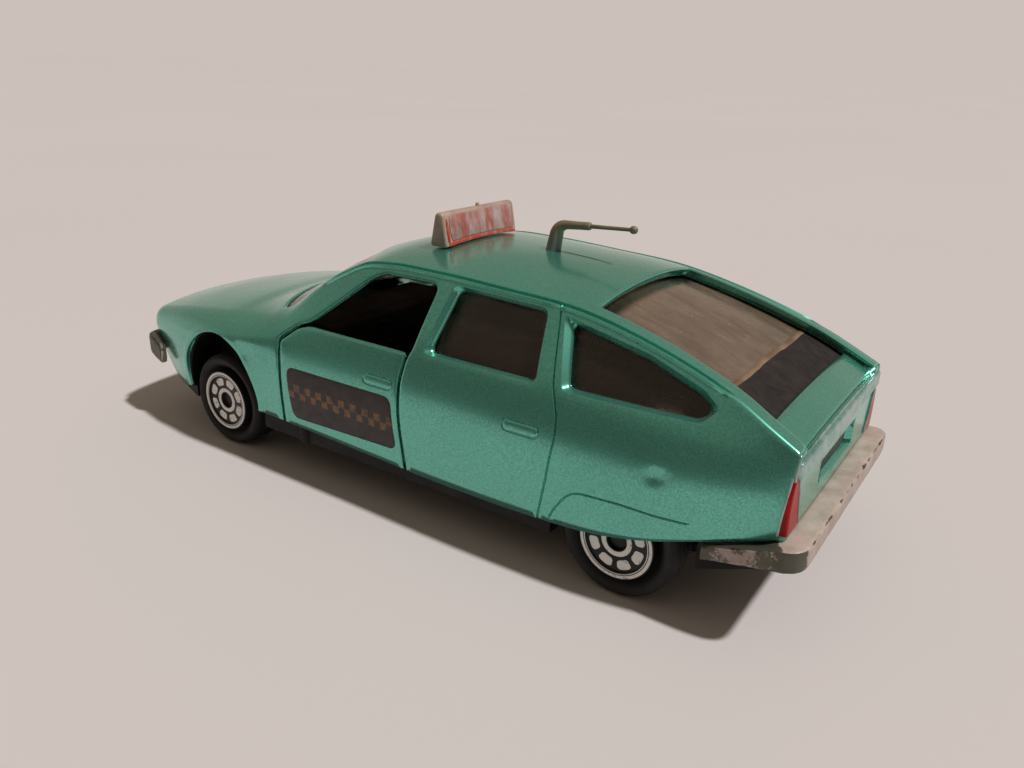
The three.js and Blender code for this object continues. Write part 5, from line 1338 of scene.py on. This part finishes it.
SIGN_PLATES = (  # name, outline [y, share of the height], lift, material, slot
    ("silver", [(-7.4, 0.16), (6.9, 0.16), (6.9, 0.9), (-7.4, 0.9)], 0.1, sign_silver, "cream_plastic"),
    ("red_foot", [(-7.6, 0.02), (7.5, 0.02), (7.3, 0.13), (-7.4, 0.12)], 0.08, sign_red, "red_plastic"),
    ("red_end", [(7.05, 0.1), (7.6, 0.08), (7.5, 0.84), (7.15, 0.8)], 0.08, sign_red, "red_plastic"))
for face, tag in ((-1, "rear"), (1, "front")):
    for plate, outline, lift, material, slot in SIGN_PLATES:
        dress(sign_plate(f"sign_{tag}_{plate}", outline, face, lift, material), "body", slot)
sprue_points, sprue_faces = turned([(0.02, 0), (0.3, 0), (0.28, 0.35), (0.2, 0.55), (0.02, 0.6)], 20)
sprue = make("sign_sprue", sprue_points + (SIGN_X, -0.4, SIGN_TOP - 0.15), sprue_faces, sign_cream)
dress(sprue, "body", "cream_plastic")


# The aerial: a beige plastic plug with a bent tube and a thin rod that ends in a ball, pressed into the roof.
# Its foot is grey, and a fine slot in the roof runs back from it, drawn as painted shade on a thin film.
aerial_beige = grained("aerial_beige", (0.17, 0.135, 0.08), (0.25, 0.205, 0.13), 0.42)
tree = aerial_beige.node_tree
shader = tree.nodes["Principled BSDF"]
split = tree.nodes.new("ShaderNodeSeparateXYZ")
tree.links.new(tree.nodes.new("ShaderNodeTexCoord").outputs["Object"], split.inputs["Vector"])
upper = ramp(tree, maths(tree, "MULTIPLY", split.outputs["Z"], 20.0), [(0.69, 0.0), (0.735, 1.0)])
beige = socket(shader, "Base Color").links[0].from_socket
feed(shader, "Base Color", mixed(tree, upper, (0.2, 0.2, 0.19), beige))


def tube(name, path, radii, material):
    """A round tube along a path in the middle plane, with a radius for each point."""
    path = np.array(path, float)
    run = np.gradient(path, axis=0)
    run /= np.linalg.norm(run, axis=1, keepdims=True)
    across = np.array([0.0, 1.0, 0.0])
    turn = np.linspace(0, 2 * math.pi, 24, endpoint=False)[:, None]
    sections = []
    for point, along, radius in zip(path, run, radii):
        up = np.cross(along, across)
        up /= np.linalg.norm(up)
        sections.append(point + radius * (np.cos(turn) * across + np.sin(turn) * up))
    return soft_bar(name, sections, material)


bend = np.linspace(0, 1, 9)
elbow_from, elbow_at, elbow_to = np.array([(-13.45, 0, 35.7), (-13.75, 0, 36.75), (-15.0, 0, 36.85)])
elbow = [(1 - u) ** 2 * elbow_from + 2 * u * (1 - u) * elbow_at + u * u * elbow_to for u in bend]
aerial_path = [
    (-13.02, 0, 33.0), (-13.05, 0, 33.35), (-13.2, 0, 34.4), *elbow, (-16.5, 0, 36.95), (-18.15, 0, 37.06),
    (-18.3, 0, 37.07), (-18.34, 0, 37.07), (-20, 0, 37.15), (-22, 0, 37.26), (-23.8, 0, 37.35)]
elbow_radii = np.interp(bend, (0, 0.5, 1), (0.88, 0.74, 0.56))
aerial_radii = [1.02, 1.0, 0.95, *elbow_radii, 0.52, 0.5, 0.42, 0.27, 0.26, 0.25, 0.24]
aerial = tube("aerial_tube", aerial_path, aerial_radii, aerial_beige)
dress(aerial, "body", "beige_plastic", "roof_aerial")
BALL = 0.5
ball_turn = np.linspace(-math.pi / 2, math.pi / 2, 13)
ball_profile = [(BALL * math.cos(a) + 0.001, BALL * math.sin(a)) for a in ball_turn]
ball_points, ball_faces = turned(ball_profile, 24)
aerial_ball = make("aerial_ball", ball_points * (1.1, 1, 1) + (-24.2, 0, 37.37), ball_faces, aerial_beige)
dress(aerial_ball, "body", "beige_plastic")
# The slot's dark is painted shade on a thin film laid on the roof, not a cut
slot_shade = grained("slot_shade", (0.02, 0.024, 0.02), (0.04, 0.045, 0.035), 0.7)
SLOT_STEPS, SLOT_HALF = 30, 0.13
slot_x = np.linspace(-14.2, -21.4, SLOT_STEPS)
slot_half = SLOT_HALF * np.sin(np.linspace(0.25, math.pi - 0.1, SLOT_STEPS))
slot_points = np.concatenate([np.stack([slot_x, s * slot_half, top_z(slot_x) + 0.012], 1) for s in (1, -1)])
slot_faces = [(i, i + 1, i + SLOT_STEPS + 1, i + SLOT_STEPS) for i in range(SLOT_STEPS - 1)]
roof_slot = thicken(make("roof_slot", slot_points, slot_faces, slot_shade), FILM)
dress(roof_slot, "body", "paint")


# The wheels: black plastic hubs pressed on the axle ends, printed in white foil with rings and eight pads,
# inside soft black tyres with a rounded shoulder and a grooved tread.
AXLE_Z, WHEEL_SIDES = 7.0, 96
hub_black = grained("hub_black", (0.006, 0.006, 0.006), (0.012, 0.0115, 0.011), 0.4, 0.35)
tyre_rubber = grained("tyre_rubber", (0.011, 0.011, 0.011), (0.02, 0.019, 0.019), 0.72, 0.4, 2500)
foil_white, tree, shader = plain("foil_white", (0.8, 0.78, 0.75), metallic=0.15, roughness=0.36)
rubbed = ramp(tree, noise(tree, 1300, 5.0, 0.7), [(0.58, 0.0), (0.68, 1.0)])
feed(shader, "Base Color", mixed(tree, rubbed, (0.8, 0.78, 0.75), (0.09, 0.085, 0.08)))
feed(shader, "Roughness", ramp(tree, noise(tree, 700, 3.0), [(0.3, 0.28), (0.7, 0.5)]))
hub_profile = [
    (0.01, 18.25), (1.05, 18.25), (1.12, 18.4), (1.18, 18.68), (1.26, 18.72), (3.55, 18.72), (3.66, 18.76),
    (3.74, 18.97), (3.82, 19.0), (4.45, 19.0), (4.56, 18.95), (4.6, 18.8), (4.6, 14.2), (4.4, 14.0),
    (0.01, 14.0)]
tyre_profile = [
    (4.55, 17.3), (4.8, 17.42), (5.05, 17.75), (5.4, 18.32), (5.75, 18.64), (6.1, 18.76), (6.45, 18.72),
    (6.75, 18.48), (6.93, 18.15), (7.0, 17.7), (7.0, 17.2), (6.86, 17.15), (6.86, 16.95), (7.0, 16.9),
    (7.0, 16.3), (6.86, 16.25), (6.86, 16.05), (7.0, 16.0), (7.0, 15.4), (6.86, 15.35), (6.86, 15.15),
    (7.0, 15.1), (7.0, 14.4), (6.9, 13.9), (6.6, 13.5), (6.2, 13.32), (4.55, 13.3)]


def on_axle(points, x, side):
    """Turns a form made about z into a wheel; its z becomes the distance from the middle of the car."""
    return np.stack([x + points[:, 0], side * points[:, 2], AXLE_Z + points[:, 1]], axis=1)


def printed(name, patches, x, side):
    """Thin foil patches on the hub, each (inner, outer, start, end, level) in millimetres and degrees."""
    points, faces = [], []
    for inner, outer, start, end, level in patches:
        steps = max(3, int((end - start) / 4))
        base = len(points)
        whole = end - start >= 360
        for k in range(steps + 1):
            turn = math.radians(start + (end - start) * k / steps)
            ease = 0 if whole else 0.16 * max(0, 1 - min(k, steps - k)) + 0.04 * max(0, 2 - min(k, steps - k))
            for r in (inner + ease, inner + ease + 0.03, outer - ease - 0.03, outer - ease):
                lift = 0.0 if r in (inner + ease, outer - ease) else 0.035
                points.append((r * math.cos(turn), r * math.sin(turn), level + lift))
        for k in range(steps):
            for j in range(3):
                a = base + 4 * k + j
                faces.append((a, a + 1, a + 5, a + 4))
    return outward(make(name, on_axle(np.array(points), x, side), faces, foil_white))


FLOOR, RIM = 18.73, 19.0
foil = [(4.05, 4.44, 0, 360, RIM - 0.012), (3.84, 3.97, 0, 360, RIM - 0.012), (1.28, 1.88, 0, 360, FLOOR)]
foil += [(2.3, 3.46, 45 * k + 6.5, 45 * k + 38.5, FLOOR) for k in range(8)]
WHEEL_PARTS = (
    ("hub", hub_profile, hub_black, "black_plastic"), ("tyre", tyre_profile, tyre_rubber, "rubber"))
for axle, x, body in (("front", FRONT_AXLE, "front_wheelset"), ("rear", REAR_AXLE, "rear_wheelset")):
    for side, hand in HANDS:
        name = hand + "_" + axle
        for part, profile, material, slot in WHEEL_PARTS:
            points, faces = turned(profile, WHEEL_SIDES)
            if part == "tyre":
                inner, outer = faces[-2][::-1], faces[-1]
                faces[-2:] = zip(inner, outer, outer[1:] + outer[:1], inner[1:] + inner[:1])
            form = make(f"{name}_{part}_form", on_axle(points, x, side), faces, material, None, 30)
            dress(outward(form), body, slot, f"{name}_{part}")
        dress(printed(name + "_foil", foil, x, side), body, "worn_plating")
